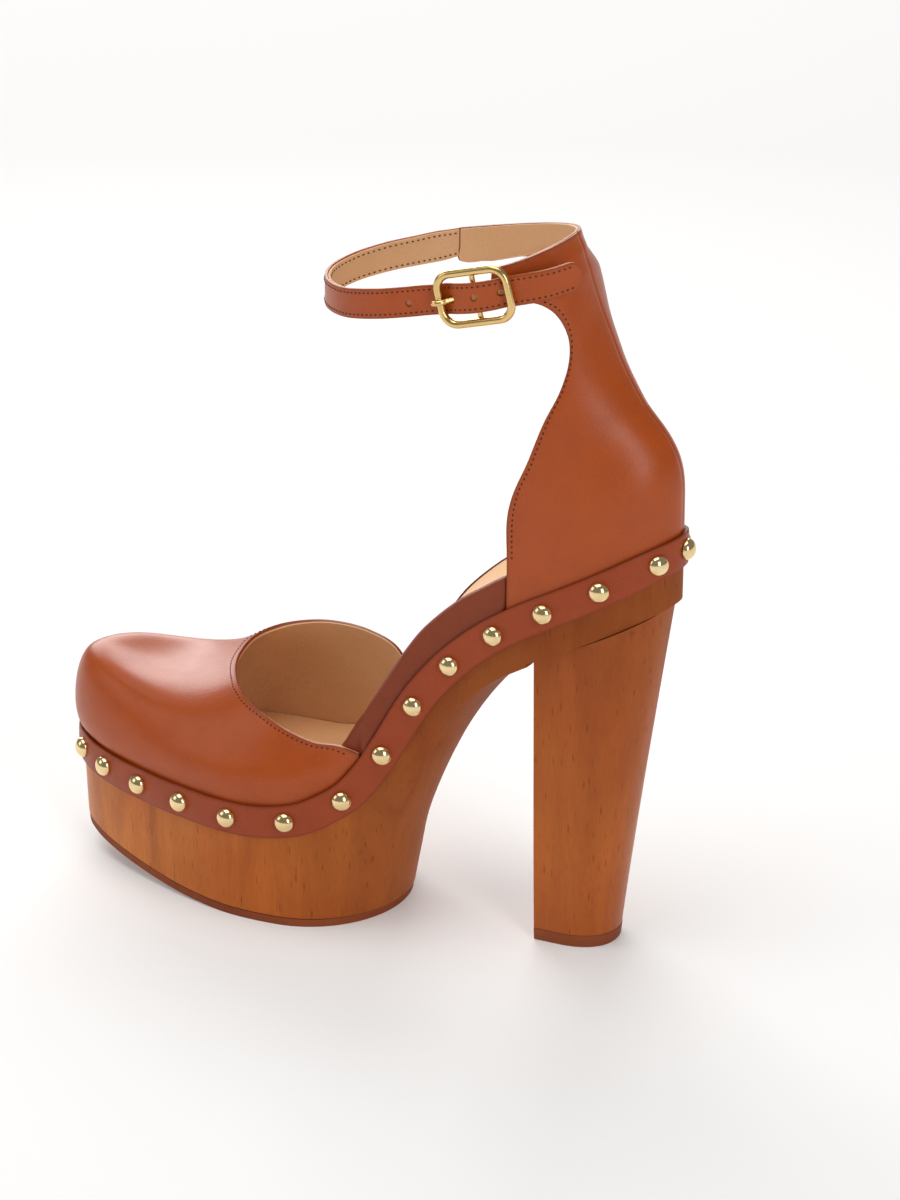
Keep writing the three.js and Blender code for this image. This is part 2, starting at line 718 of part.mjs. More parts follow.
// Leather wrapped down the wood between vamp and counter
function archEdge(from, to) {
  const grids = [0, -WALL].map((d) => {
    const rows = [];
    for (let j = 0; j <= 1; j += 1) {
      const row = [];
      for (let i = 0; i <= 18; i += 1) {
        const a = lerp(from, to, i / 18);
        const y = onOutline(a, 0).y;
        const foot = bandZ(y) - upright(bandZ, y, BAND_WIDTH / 2 - 2.4);
        row.push(onOutline(a, d, lerp(foot, footbedZ(y) - 0.1, j)));
      }
      rows.push(row);
    }
    return rows;
  });
  return wallBetween(grids[0], grids[1], false);
}

// Studded band round the whole shoe
function band() {
  const columns = 128;
  const grids = [GAP + BAND_THICK, GAP].map((d) => {
    const rows = [];
    for (const across of [-0.5, 0.5]) {
      const row = [];
      for (let i = 0; i < columns; i += 1) {
        row.push(bandPoint((i / columns) * OUTLINE_LENGTH, across * BAND_WIDTH, d));
      }
      rows.push(row);
    }
    return rows;
  });
  return wallBetween(grids[0], grids[1], true);
}

// A point on the band: arc length of its middle, distance across it, distance outwards
function bandPoint(a, across, d) {
  const step = 0.6;
  const before = bandZ(onOutline(a - step, 0).y);
  const after = bandZ(onOutline(a + step, 0).y);
  const slope = (after - before) / (2 * step);
  const scale = across / Math.sqrt(1 + slope * slope);
  return onOutline(a - slope * scale, d, bandZ(onOutline(a, 0).y) + scale);
}

// Half shell of the vamp: ribs from the band up to the throat
function vamp() {
  const cols = 46;
  const rows = 9;
  const outerEnd = outerArc(OUTER_WING_Y);
  const innerEnd = innerArc(INNER_WING_Y) - OUTLINE_LENGTH;
  const edge = throatCurve();
  const grid = [];
  for (let j = 0; j <= rows + 1; j += 1) {
    grid.push([]);
  }
  for (let i = 0; i <= cols; i += 1) {
    const u = i / cols;
    const side = u < 0.5 ? 1 - 2 * u : 2 * u - 1;
    const arc = u < 0.5 ? lerp(toeArc, outerEnd, side) : lerp(toeArc, innerEnd, side);
    const y = onOutline(arc, 0).y;
    const foot = bandZ(y) - upright(bandZ, y, BAND_WIDTH / 2 - 2.4);
    const top = bandZ(y) + upright(bandZ, y, BAND_WIDTH / 2);
    grid[0].push(onOutline(arc, 0, foot));
    const start = onOutline(arc, 0, top);
    const end = edge.getPoint(u < 0.5 ? 0.5 - 0.5 * Math.pow(side, 0.8) : 0.5 + 0.5 * Math.pow(side, 0.8));
    const rib = vampRib(start, end, onOutline(arc, 1).sub(onOutline(arc, 0)), side);
    for (let j = 0; j <= rows; j += 1) {
      grid[j + 1].push(bendThrough(rib, j / rows));
    }
  }
  return wallBetween(grid, offsetGrid(grid, -WALL), false);
}

function throatCurve() {
  const half = (across) => (across > 0 ? OUTER_BALL : INNER_BALL);
  const outerEnd = onOutline(outerArc(OUTER_WING_Y), 0, wingZ(OUTER_WING_Y));
  const innerEnd = onOutline(innerArc(INNER_WING_Y), 0, wingZ(INNER_WING_Y));
  const points = THROAT.map((row) => {
    return new THREE.Vector3(row.across * half(row.across), row.y, PLATFORM_Z + row.up);
  });
  return new THREE.CatmullRomCurve3([outerEnd, ...points, innerEnd], false, 'centripetal');
}

function wingZ(y) {
  return bandZ(y) + upright(bandZ, y, BAND_WIDTH / 2) + 1;
}

// Point on the curve that a row of handles pulls
function bendThrough(handles, t) {
  let row = handles;
  while (row.length > 1) {
    row = row.slice(1).map((p, i) => row[i].clone().lerp(p, t));
  }
  return row[0];
}

// Handles of one rib of the vamp, from the band over the last to the throat. side: 0 at the toe, 1 at a wing
function vampRib(start, end, out, side) {
  const rise = end.z - start.z;
  const front = smooth(1 - side / TOE_SHARE);
  const pull = smooth(rise / 15);
  const low = start.clone().addScaledVector(out, lerp(0.6, TOE_BULGE, front) * pull);
  low.z = start.z + rise * lerp(0.25, 0.12, front);
  const first = start.clone().addScaledVector(out, lerp(1.2, TOE_TUCK, front) * pull);
  first.z = start.z + rise * lerp(0.5, 1.98, front);
  const second = end.clone().lerp(start, lerp(0.5, 0.92, front));
  const flat = Math.hypot(second.x - end.x, second.y - end.y);
  second.z = end.z - lerp(Math.min(flat * 0.9, rise * 0.4), rise * 0.82, front);
  return [start, low, first, second, end];
}

// Counter: levels from the seat up to the collar, each running round the heel
function counter() {
  const half = 13;
  const levels = counterLevels();
  const grid = levels.map((level) => {
    const row = [];
    for (let i = -half; i <= half; i += 1) {
      row.push(level(i / half));
    }
    return row;
  });
  return wallBetween(grid, offsetGrid(grid, -WALL), false);
}

// Each level as a function of its place: 1 at the outer front, 0 at the back seam, -1 at the inner front
function counterLevels() {
  const outerFront = outerArc(COUNTER_FRONT_Y);
  const innerFront = innerArc(COUNTER_FRONT_Y);
  const arcAt = (t) => (t > 0 ? lerp(backArc, outerFront, t) : lerp(backArc, innerFront, -t));
  const onBand = (across) => (t) => {
    const y = onOutline(arcAt(t), 0).y;
    return onOutline(arcAt(t), 0, bandZ(y) + upright(bandZ, y, across));
  };
  const seam = new THREE.CatmullRomCurve3(COUNTER.map((r) => new THREE.Vector3(0, r.seamY, r.seamZ)));
  const outer = new THREE.CatmullRomCurve3(COUNTER.map((r) => new THREE.Vector3(...r.outer)));
  const inner = new THREE.CatmullRomCurve3(COUNTER.map((r) => new THREE.Vector3(...r.inner)));
  const levels = [onBand(2.4 - BAND_WIDTH / 2), onBand(BAND_WIDTH / 2)];
  const count = COUNTER.length - 1;
  for (let i = 0; i <= count; i += 1) {
    const v = i / count;
    const back = seam.getPoint(v);
    const sides = [outer.getPoint(v), inner.getPoint(v)];
    levels.push((t) => {
      const point = levelPoint(back, t > 0 ? sides[0] : sides[1], Math.abs(t));
      const low = onBand(BAND_WIDTH / 2)(t);
      const blend = smooth(i / 3);
      return new THREE.Vector3(lerp(low.x, point.x, blend), lerp(low.y, point.y, blend), point.z);
    });
  }
  return levels;
}

function levelPoint(back, end, t) {
  const reach = back.y - end.y;
  const first = new THREE.Vector3(end.x * 0.55, back.y, back.z);
  const second = new THREE.Vector3(end.x * 1.02, end.y + reach * 0.5, lerp(back.z, end.z, 0.62));
  return new THREE.CubicBezierCurve3(back, first, second, end).getPoint(t);
}

// Ankle strap with its rounded tip
function ankleStrap() {
  const path = new THREE.CatmullRomCurve3(STRAP.map((p) => new THREE.Vector3(...p)), false, 'centripetal');
  const steps = 50;
  const length = path.getLength();
  const rings = [];
  for (let i = 0; i <= steps; i += 1) {
    const u = i / steps;
    const p = path.getPointAt(u);
    const tangent = path.getTangentAt(u);
    const out = new THREE.Vector3(tangent.y, -tangent.x, 0).normalize();
    const across = new THREE.Vector3().crossVectors(out, tangent).normalize();
    across.lerp(new THREE.Vector3(0, 0, 1), 1 - smooth(u / 0.05)).divideScalar(across.z);
    const left = (1 - u) * length / (STRAP_WIDTH / 2);
    const round = left < 1 ? Math.sqrt(Math.max(1 - (1 - left) ** 2, 0.04)) : 1;
    const ring = [];
    for (const [w, h] of [[1, 1], [1, -1], [-1, -1], [-1, 1]]) {
      const q = p.clone().addScaledVector(across, w * round * STRAP_WIDTH / 2);
      ring.push(q.addScaledVector(out, h * STRAP_THICK / 2));
    }
    rings.push(ring);
  }
  let solid = solidOf(loft(rings)).subtract(solidOf(prongShape(PRONG + HOLE_GAP)));
  for (const y of STRAP_HOLES) {
    const hole = new THREE.CylinderGeometry(HOLE, HOLE, 12, 8);
    hole.rotateZ(Math.PI / 2);
    hole.translate(0, y, 0);
    hole.applyMatrix4(buckleMatrix());
    solid = solid.subtract(solidOf(hole));
  }
  return geometryFrom(solid);
}

function buckleMatrix() {
  const matrix = new THREE.Matrix4().makeRotationFromEuler(new THREE.Euler(BUCKLE_TILT, 0, 0));
  return matrix.setPosition(BUCKLE_AT);
}

// Buckle frame, in its own plane: Y along the strap, Z across it
function buckleFrame() {
  const corner = BUCKLE_CORNER;
  const y = BUCKLE_LENGTH / 2 - WIRE;
  const z = BUCKLE_HEIGHT / 2 - WIRE;
  const rings = [];
  for (const [cy, cz, start] of [[y, z, 0], [-y, z, 1], [-y, -z, 2], [y, -z, 3]]) {
    for (let i = 0; i <= 5; i += 1) {
      const turn = (start + i / 5) * Math.PI / 2;
      const middle = [cy - Math.sign(cy) * corner, cz - Math.sign(cz) * corner];
      const dir = [Math.cos(turn), Math.sin(turn)];
      const ring = [];
      for (let k = 0; k < 8; k += 1) {
        const angle = 2 * Math.PI * k / 8;
        const r = corner + WIRE * Math.cos(angle);
        ring.push(new THREE.Vector3(WIRE * Math.sin(angle), middle[0] + dir[0] * r, middle[1] + dir[1] * r));
      }
      rings.push(ring);
    }
  }
  const count = rings[0].length;
  const points = rings.flat();
  const faces = [];
  rings.forEach((ring, i) => {
    for (let k = 0; k < count; k += 1) {
      const next = ((i + 1) % rings.length) * count;
      const a = i * count + k;
      const b = i * count + (k + 1) % count;
      faces.push([a, b, next + (k + 1) % count], [a, next + (k + 1) % count, next + k]);
    }
  });
  const loop = solidOf(geometryOf(points, facingOut(points, faces)));
  const bar = new THREE.CylinderGeometry(WIRE * 0.65, WIRE * 0.65, 2 * z, 8);
  bar.rotateX(Math.PI / 2);
  bar.translate(-BAR_DROP, 0, 0);
  const geometry = geometryFrom(loop.add(solidOf(bar)));
  geometry.applyMatrix4(buckleMatrix());
  return geometry;
}

// Prong from the middle bar, through a hole of the strap, onto the front bar
function prongShape(radius) {
  const path = new THREE.CatmullRomCurve3([
    new THREE.Vector3(-1.5, -1.35 - (radius - PRONG), 0),
    new THREE.Vector3(-1.6, -4.2, 0),
    new THREE.Vector3(-1.0, -6.9, 0),
    new THREE.Vector3(1.0, -9.6, 0),
    new THREE.Vector3(2.35, -11.0, 0),
    new THREE.Vector3(2.65, -12.4, 0),
    new THREE.Vector3(2.1, -14.3, 0)
  ]);
  const section = new THREE.Shape();
  section.absarc(0, 0, radius, 0, 2 * Math.PI);
  const geometry = new THREE.ExtrudeGeometry(section, { steps: 12, curveSegments: 4, extrudePath: path });
  geometry.applyMatrix4(buckleMatrix());
  return geometry;
}

// Domed nail head, its flat back on the band
function studGeometry() {
  const profile = [new THREE.Vector2(0, 0)];
  const steps = 2;
  for (let i = 0; i <= steps; i += 1) {
    const turn = (Math.PI / 2) * (i / steps);
    const r = i === steps ? 0 : STUD_RADIUS * Math.cos(turn);
    profile.push(new THREE.Vector2(r, 0.35 + (STUD_HEIGHT - 0.35) * Math.sin(turn)));
  }
  profile.splice(1, 0, new THREE.Vector2(STUD_RADIUS, 0));
  return new THREE.LatheGeometry(profile, 8);
}

// Arc lengths of the studs, along the band's own middle line from the back seam
function studArcs() {
  const steps = 1200;
  const lengths = [0];
  const point = (i) => bandPoint(backArc + (i / steps) * OUTLINE_LENGTH, 0, 0);
  for (let i = 1; i <= steps; i += 1) {
    lengths.push(lengths[i - 1] + point(i).distanceTo(point(i - 1)));
  }
  const run = lengths[steps] - 2 * STUD_BACK;
  const count = Math.round(run / STUD_PITCH);
  const places = [0];
  for (let k = 0; k <= count; k += 1) {
    places.push(STUD_BACK + run * k / count);
  }
  STUD_SHIFTS.forEach((shift, k) => {
    places[FIRST_SHIFTED + k] += shift;
  });
  return places.map((want) => backArc + (lengths.findIndex((l) => l >= want) / steps) * OUTLINE_LENGTH);
}

function addStuds() {
  studArcs().forEach((a, k) => {
    const at = bandPoint(a, 0, GAP + BAND_THICK + STUD_GAP);
    const out = onOutline(a, 1).sub(onOutline(a, 0)).normalize();
    const mesh = new THREE.Mesh(studGeometry(), brass);
    mesh.name = `stud_${String(k + 1).padStart(2, '0')}`;
    mesh.position.copy(at);
    mesh.quaternion.setFromUnitVectors(new THREE.Vector3(0, 1, 0), out);
    shoe.add(mesh);
  });
}

addPiece('outsole', outsole(), rubber);
addPiece('wood_sole', woodSole(), wood);
addPiece('heel_block', heelBlock(), wood);
addPiece('heel_top_lift', topLift(), rubber);
addPiece('insole', insole(), lining);
addPiece('vamp', vamp(), leather);
addPiece('counter', counter(), leather);
addPiece('studded_band', band(), darkLeather);
addPiece('ankle_strap', ankleStrap(), leather);
addPiece('buckle_frame', buckleFrame(), brass);
addPiece('buckle_prong', prongShape(PRONG), brass);
addStuds();

export default shoe;
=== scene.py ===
"""Looks of a left platform pump with a nailed band, an open arch and a buckled ankle strap.

Sizes are millimetres until a point is placed. The toe points to -Y and the outer side is +X.
"""

import bisect
import functools
import math

import bmesh
import bpy
from mathutils import Euler, Matrix, Vector, kdtree


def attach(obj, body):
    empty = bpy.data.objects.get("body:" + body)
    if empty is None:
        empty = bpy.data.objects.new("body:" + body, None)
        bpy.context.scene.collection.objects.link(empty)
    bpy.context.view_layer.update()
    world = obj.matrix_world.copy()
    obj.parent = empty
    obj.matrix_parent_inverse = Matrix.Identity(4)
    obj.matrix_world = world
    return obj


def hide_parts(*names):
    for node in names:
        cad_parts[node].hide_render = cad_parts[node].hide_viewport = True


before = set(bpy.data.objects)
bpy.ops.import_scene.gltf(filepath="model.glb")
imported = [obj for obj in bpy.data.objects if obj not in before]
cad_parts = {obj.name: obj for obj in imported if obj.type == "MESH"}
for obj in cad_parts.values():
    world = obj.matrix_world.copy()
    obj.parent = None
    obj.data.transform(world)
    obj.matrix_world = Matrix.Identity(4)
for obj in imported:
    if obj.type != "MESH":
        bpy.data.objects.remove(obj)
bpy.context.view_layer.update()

MM = 0.001

# The last and the wood, with the same values as the solids
TOE_Y, HEEL_Y = -80.3, 143.2
OUTER_BALL, INNER_BALL = 36.4, 38.5
PLATFORM_Z, SEAT_Z = 38.0, 145.2
TOE_SPRING, SPRING_Y = 10.0, -6.0
OUTSOLE, LIFT, INSOLE = 2.8, 4.6, 2.6
GAP, WALL = 0.3, 1.8
BAND_WIDTH, BAND_THICK = 11.6, 1.5
SIDE_INSET = 1.3
REAR_CENTRE_Y, REAR_Y = 10.8, 44.8
TOE_BULGE, TOE_TUCK, TOE_SHARE = 9.0, -5.0, 0.45
HEEL_FRONT_Y, HEEL_TOP_Z = 97.2, 128.0
HEEL_FOOT, HEEL_FOOT_DEPTH = 12.8, 25.8
HEEL_TOP, HEEL_TOP_DEPTH = 21.3, 41.0
JOINT_Y, JOINT_Z, JOINT_SLOPE = 97.6, 105.4, 0.475
WING_Y, COUNTER_FRONT_Y = 40.3, 90.6
REBATE = WALL + GAP

# Nails, strap and buckle
STUD_RADIUS, STUD_HEIGHT = 3.6, 2.3
STUD_PITCH, STUD_BACK = 20.9, 12.5
FIRST_SHIFTED, STUD_SHIFTS = 15, (2.4, -2.9, -4.4, -4.2, -4.1, -3.0, -2.3, -0.8)
STRAP_WIDTH, STRAP_THICK = 9.8, 2.0
STRAP_HOLES = (-24.2, 0.4, 9.0)  # by the buckle's own y
PRONG_HOLE = -8.2
HOLE = 1.2
SEAM_REACH = 0.38  # closes the butt seam with the counter
WIRE, PRONG = 1.35, 0.9
BUCKLE_LENGTH, BUCKLE_HEIGHT, BUCKLE_CORNER = 27.0, 19.5, 5.0
BUCKLE_AT, BUCKLE_TILT, BAR_DROP = (28.4, 81.4, 232.1), 0.245, 1.5

# Leather and thread
UPPER_SKIN, LINING_SKIN = 1.0, 0.7
SKIN_GAP = 0.05
STITCH_PITCH, STITCH_LENGTH, THREAD = 1.9, 0.95, 0.27
STITCH_INSET = 1.9

# Plan of the last. Columns: share of the length from the toe, share of the half-width at the ball
OUTER_PLAN = (
    (0.000, -0.190), (0.015, 0.040), (0.045, 0.230), (0.090, 0.410), (0.165, 0.635),
    (0.250, 0.840), (0.340, 0.980), (0.420, 1.000), (0.475, 0.950), (0.520, 0.840),
    (0.570, 0.715), (0.625, 0.635), (0.690, 0.605), (0.760, 0.618), (0.840, 0.618),
    (0.905, 0.545), (0.955, 0.405), (0.988, 0.205), (1.000, 0.000),
)
INNER_PLAN = (
    (0.012, 0.370), (0.045, 0.590), (0.100, 0.780), (0.180, 0.925), (0.270, 1.000),
    (0.340, 0.990), (0.410, 0.920), (0.480, 0.800), (0.550, 0.640), (0.620, 0.535),
    (0.690, 0.510), (0.770, 0.545), (0.845, 0.580), (0.905, 0.515), (0.955, 0.383),
    (0.988, 0.194),
)

# Side view. Columns: share of the length from the toe, share of the climb from platform to seat
BAND_LINE = (
    (0.000, 0.018), (0.090, 0.000), (0.270, -0.002), (0.360, 0.000), (0.420, 0.015),
    (0.460, 0.039), (0.496, 0.080), (0.522, 0.119), (0.550, 0.190), (0.582, 0.302),
    (0.610, 0.408), (0.637, 0.494), (0.680, 0.597), (0.730, 0.688), (0.787, 0.768),
    (0.846, 0.835), (0.907, 0.902), (0.960, 0.962), (1.000, 1.000),
)
FOOTBED_LINE = (
    (0.000, 0.062), (0.200, 0.058), (0.370, 0.064), (0.420, 0.086), (0.460, 0.130),
    (0.495, 0.205), (0.523, 0.295), (0.558, 0.432), (0.601, 0.594), (0.632, 0.687),
    (0.682, 0.789), (0.724, 0.852), (0.761, 0.901), (0.830, 0.968), (0.900, 1.020),
    (1.000, 1.070),
)

# Rear of the platform and underside of the arch.
# Columns: height, distance behind the platform's rear at the floor, depth of the rounding across
ARCH = (
    (-2.0, -0.2, 34.0), (17.0, 3.5, 37.0), (30.0, 6.2, 38.0), (43.0, 10.7, 38.0),
    (58.0, 17.2, 30.0), (73.0, 25.2, 17.0), (87.0, 35.0, 8.0), (98.0, 45.5, 4.0),
    (105.1, 56.0, 2.0),
)
ARCH_BACK = [(z, back) for z, back, bow in ARCH]
ARCH_BOW = [(z, bow) for z, back, bow in ARCH]

# Throat of the vamp, from the outer wing round the front to the inner wing.
# Columns: share of the half-width at the ball, y, height above the band's middle
THROAT = (
    (0.860, 33.3, 30.6), (0.885, 25.6, 30.8), (0.850, 15.4, 32.7), (0.760, 6.4, 34.9),
    (0.610, -3.4, 37.0), (0.390, -10.9, 38.8), (0.060, -17.6, 39.8), (-0.240, -21.0, 40.4),
    (-0.560, -20.6, 42.2), (-0.760, -14.8, 44.0), (-0.865, -2.8, 46.0), (-0.890, 8.0, 46.2),
    (-0.870, 18.5, 45.0), (-0.810, 29.0, 41.5),
)

# Levels of the counter. Columns: back seam y and z, outer front end, inner front end
COUNTER = (
    ((143.4, 160.0), (23.4, 90.2, 139.0), (-22.4, 90.2, 139.0)),
    ((140.9, 171.0), (23.6, 90.2, 151.0), (-22.6, 90.2, 151.0)),
    ((135.8, 182.5), (23.0, 92.8, 163.0), (-22.2, 92.8, 163.0)),
    ((128.4, 194.0), (22.0, 97.6, 176.5), (-21.4, 97.6, 176.5)),
    ((122.1, 205.0), (20.4, 102.2, 189.5), (-20.0, 102.2, 189.5)),
    ((117.8, 215.0), (18.2, 107.0, 200.5), (-18.0, 106.2, 200.5)),
    ((114.5, 223.0), (16.6, 109.3, 210.5), (-16.4, 108.6, 210.5)),
    ((112.5, 228.5), (16.4, 108.8, 218.5), (-16.4, 108.2, 218.5)),
    ((111.0, 233.0), (18.0, 105.6, 225.5), (-18.0, 105.6, 225.5)),
    ((110.0, 236.2), (20.6, 101.8, 229.2), (-20.8, 101.6, 228.6)),
    ((109.1, 238.6), (22.8, 96.6, 230.6), (-24.6, 91.0, 229.8)),
    ((108.4, 240.8), (23.4, 90.0, 230.2), (-28.4, 72.0, 227.6)),
    ((107.8, 242.8), (23.7, 85.6, 229.8), (-29.0, 53.0, 223.8)),
    ((106.6, 245.4), (23.8, 85.2, 235.0), (-29.0, 53.0, 229.4)),
    ((105.6, 248.2), (23.9, 85.6, 240.8), (-29.0, 53.0, 235.0)),
)

# Middle line of the ankle strap, from its seam on the inner side round the front to its tip
STRAP = (
    (-29.0, 52.6, 229.7), (-28.0, 40.0, 225.9), (-24.2, 28.4, 222.9), (-16.4, 20.4, 220.8),
    (-5.0, 17.4, 219.7), (8.0, 21.6, 219.9), (18.4, 32.0, 221.1), (24.2, 46.0, 224.1),
    (25.4, 56.0, 226.3), (25.6, 64.0, 228.1), (25.7, 69.2, 229.1), (26.2, 71.9, 229.8),
    (27.9, 75.4, 230.7), (29.1, 81.4, 232.1), (27.9, 87.4, 233.5), (26.1, 90.9, 234.3),
    (25.5, 93.6, 234.9), (22.6, 104.6, 237.6), (14.0, 112.6, 239.8),
)

# Prong of the buckle, in the buckle's own plane
PRONG_LINE = (
    (-1.5, -1.35, 0.0), (-1.6, -4.2, 0.0), (-1.0, -6.9, 0.0), (1.0, -9.6, 0.0),
    (2.35, -11.0, 0.0), (2.65, -12.4, 0.0), (2.1, -14.3, 0.0),
)


# Lines and places


def lerp(a, b, t):
    return a + (b - a) * t


def smooth(t):
    c = min(max(t, 0.0), 1.0)
    return c * c * (3 - 2 * c)


def through(rows, at):
    """Value at a place on a smooth line through rows of place and value."""
    last = len(rows) - 1
    place = min(max(at, rows[0][0]), rows[last][0])
    i = 0
    while i < last - 1 and place > rows[i + 1][0]:
        i += 1

    def slope(k):
        a, b = rows[max(k - 1, 0)], rows[min(k + 1, last)]
        return (b[1] - a[1]) / (b[0] - a[0])

    span = rows[i + 1][0] - rows[i][0]
    t = (place - rows[i][0]) / span
    rise = rows[i + 1][1] - rows[i][1]
    a = slope(i) * span - rise
    b = rise - slope(i + 1) * span
    return lerp(rows[i][1], rows[i + 1][1], t) + t * (1 - t) * (a * (1 - t) + b * t)


class Path:
    """A smooth curve through points, which can also be walked by its length."""

    def __init__(self, points, closed=False, steps=800):
        self.points = [Vector(p) for p in points]
        self.closed = closed
        samples = [self.point(i / steps) for i in range(steps + 1)]
        self.lengths = [0.0]
        for before, after in zip(samples, samples[1:]):
            self.lengths.append(self.lengths[-1] + (after - before).length)
        self.length = self.lengths[-1]

    def point(self, t):
        p = self.points
        count = len(p)
        if self.closed:
            t %= 1.0
        place = (count if self.closed else count - 1) * min(max(t, 0.0), 1.0)
        i = min(int(place), count - 1 if self.closed else count - 2)
        w = place - i
        p1, p2 = p[i], p[(i + 1) % count]
        p0 = p[i - 1] if self.closed or i > 0 else 2 * p[0] - p[1]
        p3 = p[(i + 2) % count] if self.closed or i + 2 < count else 2 * p[-1] - p[-2]
        d0 = math.sqrt((p1 - p0).length)
        d1 = math.sqrt((p2 - p1).length)
        d2 = math.sqrt((p3 - p2).length)
        leave = ((p1 - p0) / d0 - (p2 - p0) / (d0 + d1) + (p2 - p1) / d1) * d1
        reach = ((p2 - p1) / d1 - (p3 - p1) / (d1 + d2) + (p3 - p2) / d2) * d1
        square = 3 * (p2 - p1) - 2 * leave - reach
        cube = 2 * (p1 - p2) + leave + reach
        return p1 + w * (leave + w * (square + w * cube))

    def knot(self, share):
        want = share * self.length
        i = min(max(bisect.bisect_right(self.lengths, want) - 1, 0), len(self.lengths) - 2)
        span = self.lengths[i + 1] - self.lengths[i]
        return (i + (want - self.lengths[i]) / span) / (len(self.lengths) - 1)

    def at(self, share):
        return self.point(self.knot(share))

    def direction(self, share):
        t = self.knot(share)
        return (self.point(t + 0.0001) - self.point(t - 0.0001)).normalized()


def bend(handles, t):
    """Point on the curve that a row of handles pulls."""
    row = list(handles)
    while len(row) > 1:
        row = [p.lerp(q, t) for p, q in zip(row, row[1:])]
    return row[0]


OUTLINE = Path(
    [(half * OUTER_BALL, lerp(TOE_Y, HEEL_Y, along), 0) for along, half in OUTER_PLAN]
    + [(-half * INNER_BALL, lerp(TOE_Y, HEEL_Y, along), 0) for along, half in reversed(INNER_PLAN)],
    closed=True,
)
RUN = OUTLINE.length


@functools.lru_cache(maxsize=None)
def outline_point(arc):
    share = (arc / RUN) % 1.0
    return OUTLINE.at(share), OUTLINE.direction(share)


def on_outline(arc, out=0.0, z=0.0):
    """Point at a run round the last, moved outwards."""
    p, t = outline_point(arc)
    return Vector((p.x + t.y * out, p.y - t.x * out, z))


BACK_ARC = max((i / 4 for i in range(int(RUN * 4))), key=lambda a: on_outline(a).y)
TOE_ARC = min((i / 4 for i in range(int(RUN * 4))), key=lambda a: on_outline(a).y)
TOE_ARC = TOE_ARC - RUN if TOE_ARC > RUN / 2 else TOE_ARC


def arc_at(y, side, out=0.0):
    """Run at which the outer (1) or inner (-1) side passes y."""
    low = TOE_ARC if side > 0 else TOE_ARC + RUN
    high = BACK_ARC
    for _ in range(34):
        middle = (low + high) / 2
        if on_outline(middle, out).y < y:
            low = middle
        else:
            high = middle
    return (low + high) / 2


def climb(rows, y):
    share = (y - TOE_Y) / (HEEL_Y - TOE_Y)
    return PLATFORM_Z + (SEAT_Z - PLATFORM_Z) * through(rows, share)


def band_z(y):
    return climb(BAND_LINE, y)


def footbed_z(y):
    return climb(FOOTBED_LINE, y)


def upright(line, y, across):
    """Upright distance that gives a distance across a line's slope."""
    slope = line(y + 0.5) - line(y - 0.5)
    return across * math.sqrt(1 + slope * slope)


def spring_z(y):
    share = max(SPRING_Y - y, 0) / (SPRING_Y - TOE_Y)
    return TOE_SPRING * share**1.65


# Mesh helpers


def surface(columns, rows, place, size=(1.0, 1.0)):
    """A grid whose points are placed in millimetres, with its own flat measures as a UV map."""
    mesh = bmesh.new()
    layer = mesh.loops.layers.uv.new("Flat")
    bmesh.ops.create_grid(mesh, x_segments=columns, y_segments=rows, size=0.5)
    for face in mesh.faces:
        for loop in face.loops:
            loop[layer].uv = (
                (loop.vert.co.x + 0.5) * size[0],
                (loop.vert.co.y + 0.5) * size[1],
            )
    for vert in mesh.verts:
        u = min(max(vert.co.x + 0.5, 0.0), 1.0)
        v = min(max(vert.co.y + 0.5, 0.0), 1.0)
        vert.co = place(round(u, 6), round(v, 6)) * MM
    bmesh.ops.remove_doubles(mesh, verts=mesh.verts, dist=1e-6)
    return mesh


def loft(rings):
    """A closed body through rings of equally many points."""
    count = len(rings[0])
    last = len(rings) - 1
    mesh = surface(count, last, lambda u, v: rings[round(v * last)][round(u * count) % count])
    bmesh.ops.holes_fill(mesh, edges=mesh.edges)
    bmesh.ops.recalc_face_normals(mesh, faces=mesh.faces)
    return mesh


def side_block(pairs, half):
    """A block across the shoe, drawn from the side as y and z."""
    mesh = bmesh.new()
    face = mesh.faces.new([mesh.verts.new((-half * MM, y * MM, z * MM)) for y, z in pairs])
    pulled = bmesh.ops.extrude_face_region(mesh, geom=[face])["geom"]
    moved = [item for item in pulled if isinstance(item, bmesh.types.BMVert)]
    bmesh.ops.translate(mesh, verts=moved, vec=(2 * half * MM, 0, 0))
    bmesh.ops.recalc_face_normals(mesh, faces=mesh.faces)
    return mesh


def face_away(mesh, middle):
    """Turns an open surface so that it faces away from a point inside the shoe."""
    centre = Vector(middle) * MM
    mesh.normal_update()
    facing = sum(
        (face.calc_center_median() - centre).dot(face.normal) * face.calc_area()
        for face in mesh.faces
    )
    if facing < 0:
        bmesh.ops.reverse_faces(mesh, faces=mesh.faces)
    mesh.normal_update()


def sink(mesh, depth):
    """Moves a surface inwards along its own normals."""
    mesh.normal_update()
    moves = [(vert, vert.normal * depth * MM) for vert in mesh.verts]
    for vert, move in moves:
        vert.co -= move


def shaped(name, mesh):
    data = bpy.data.meshes.new(name)
    mesh.to_mesh(data)
    mesh.free()
    made = bpy.data.objects.new(name, data)
    bpy.context.scene.collection.objects.link(made)
    return made


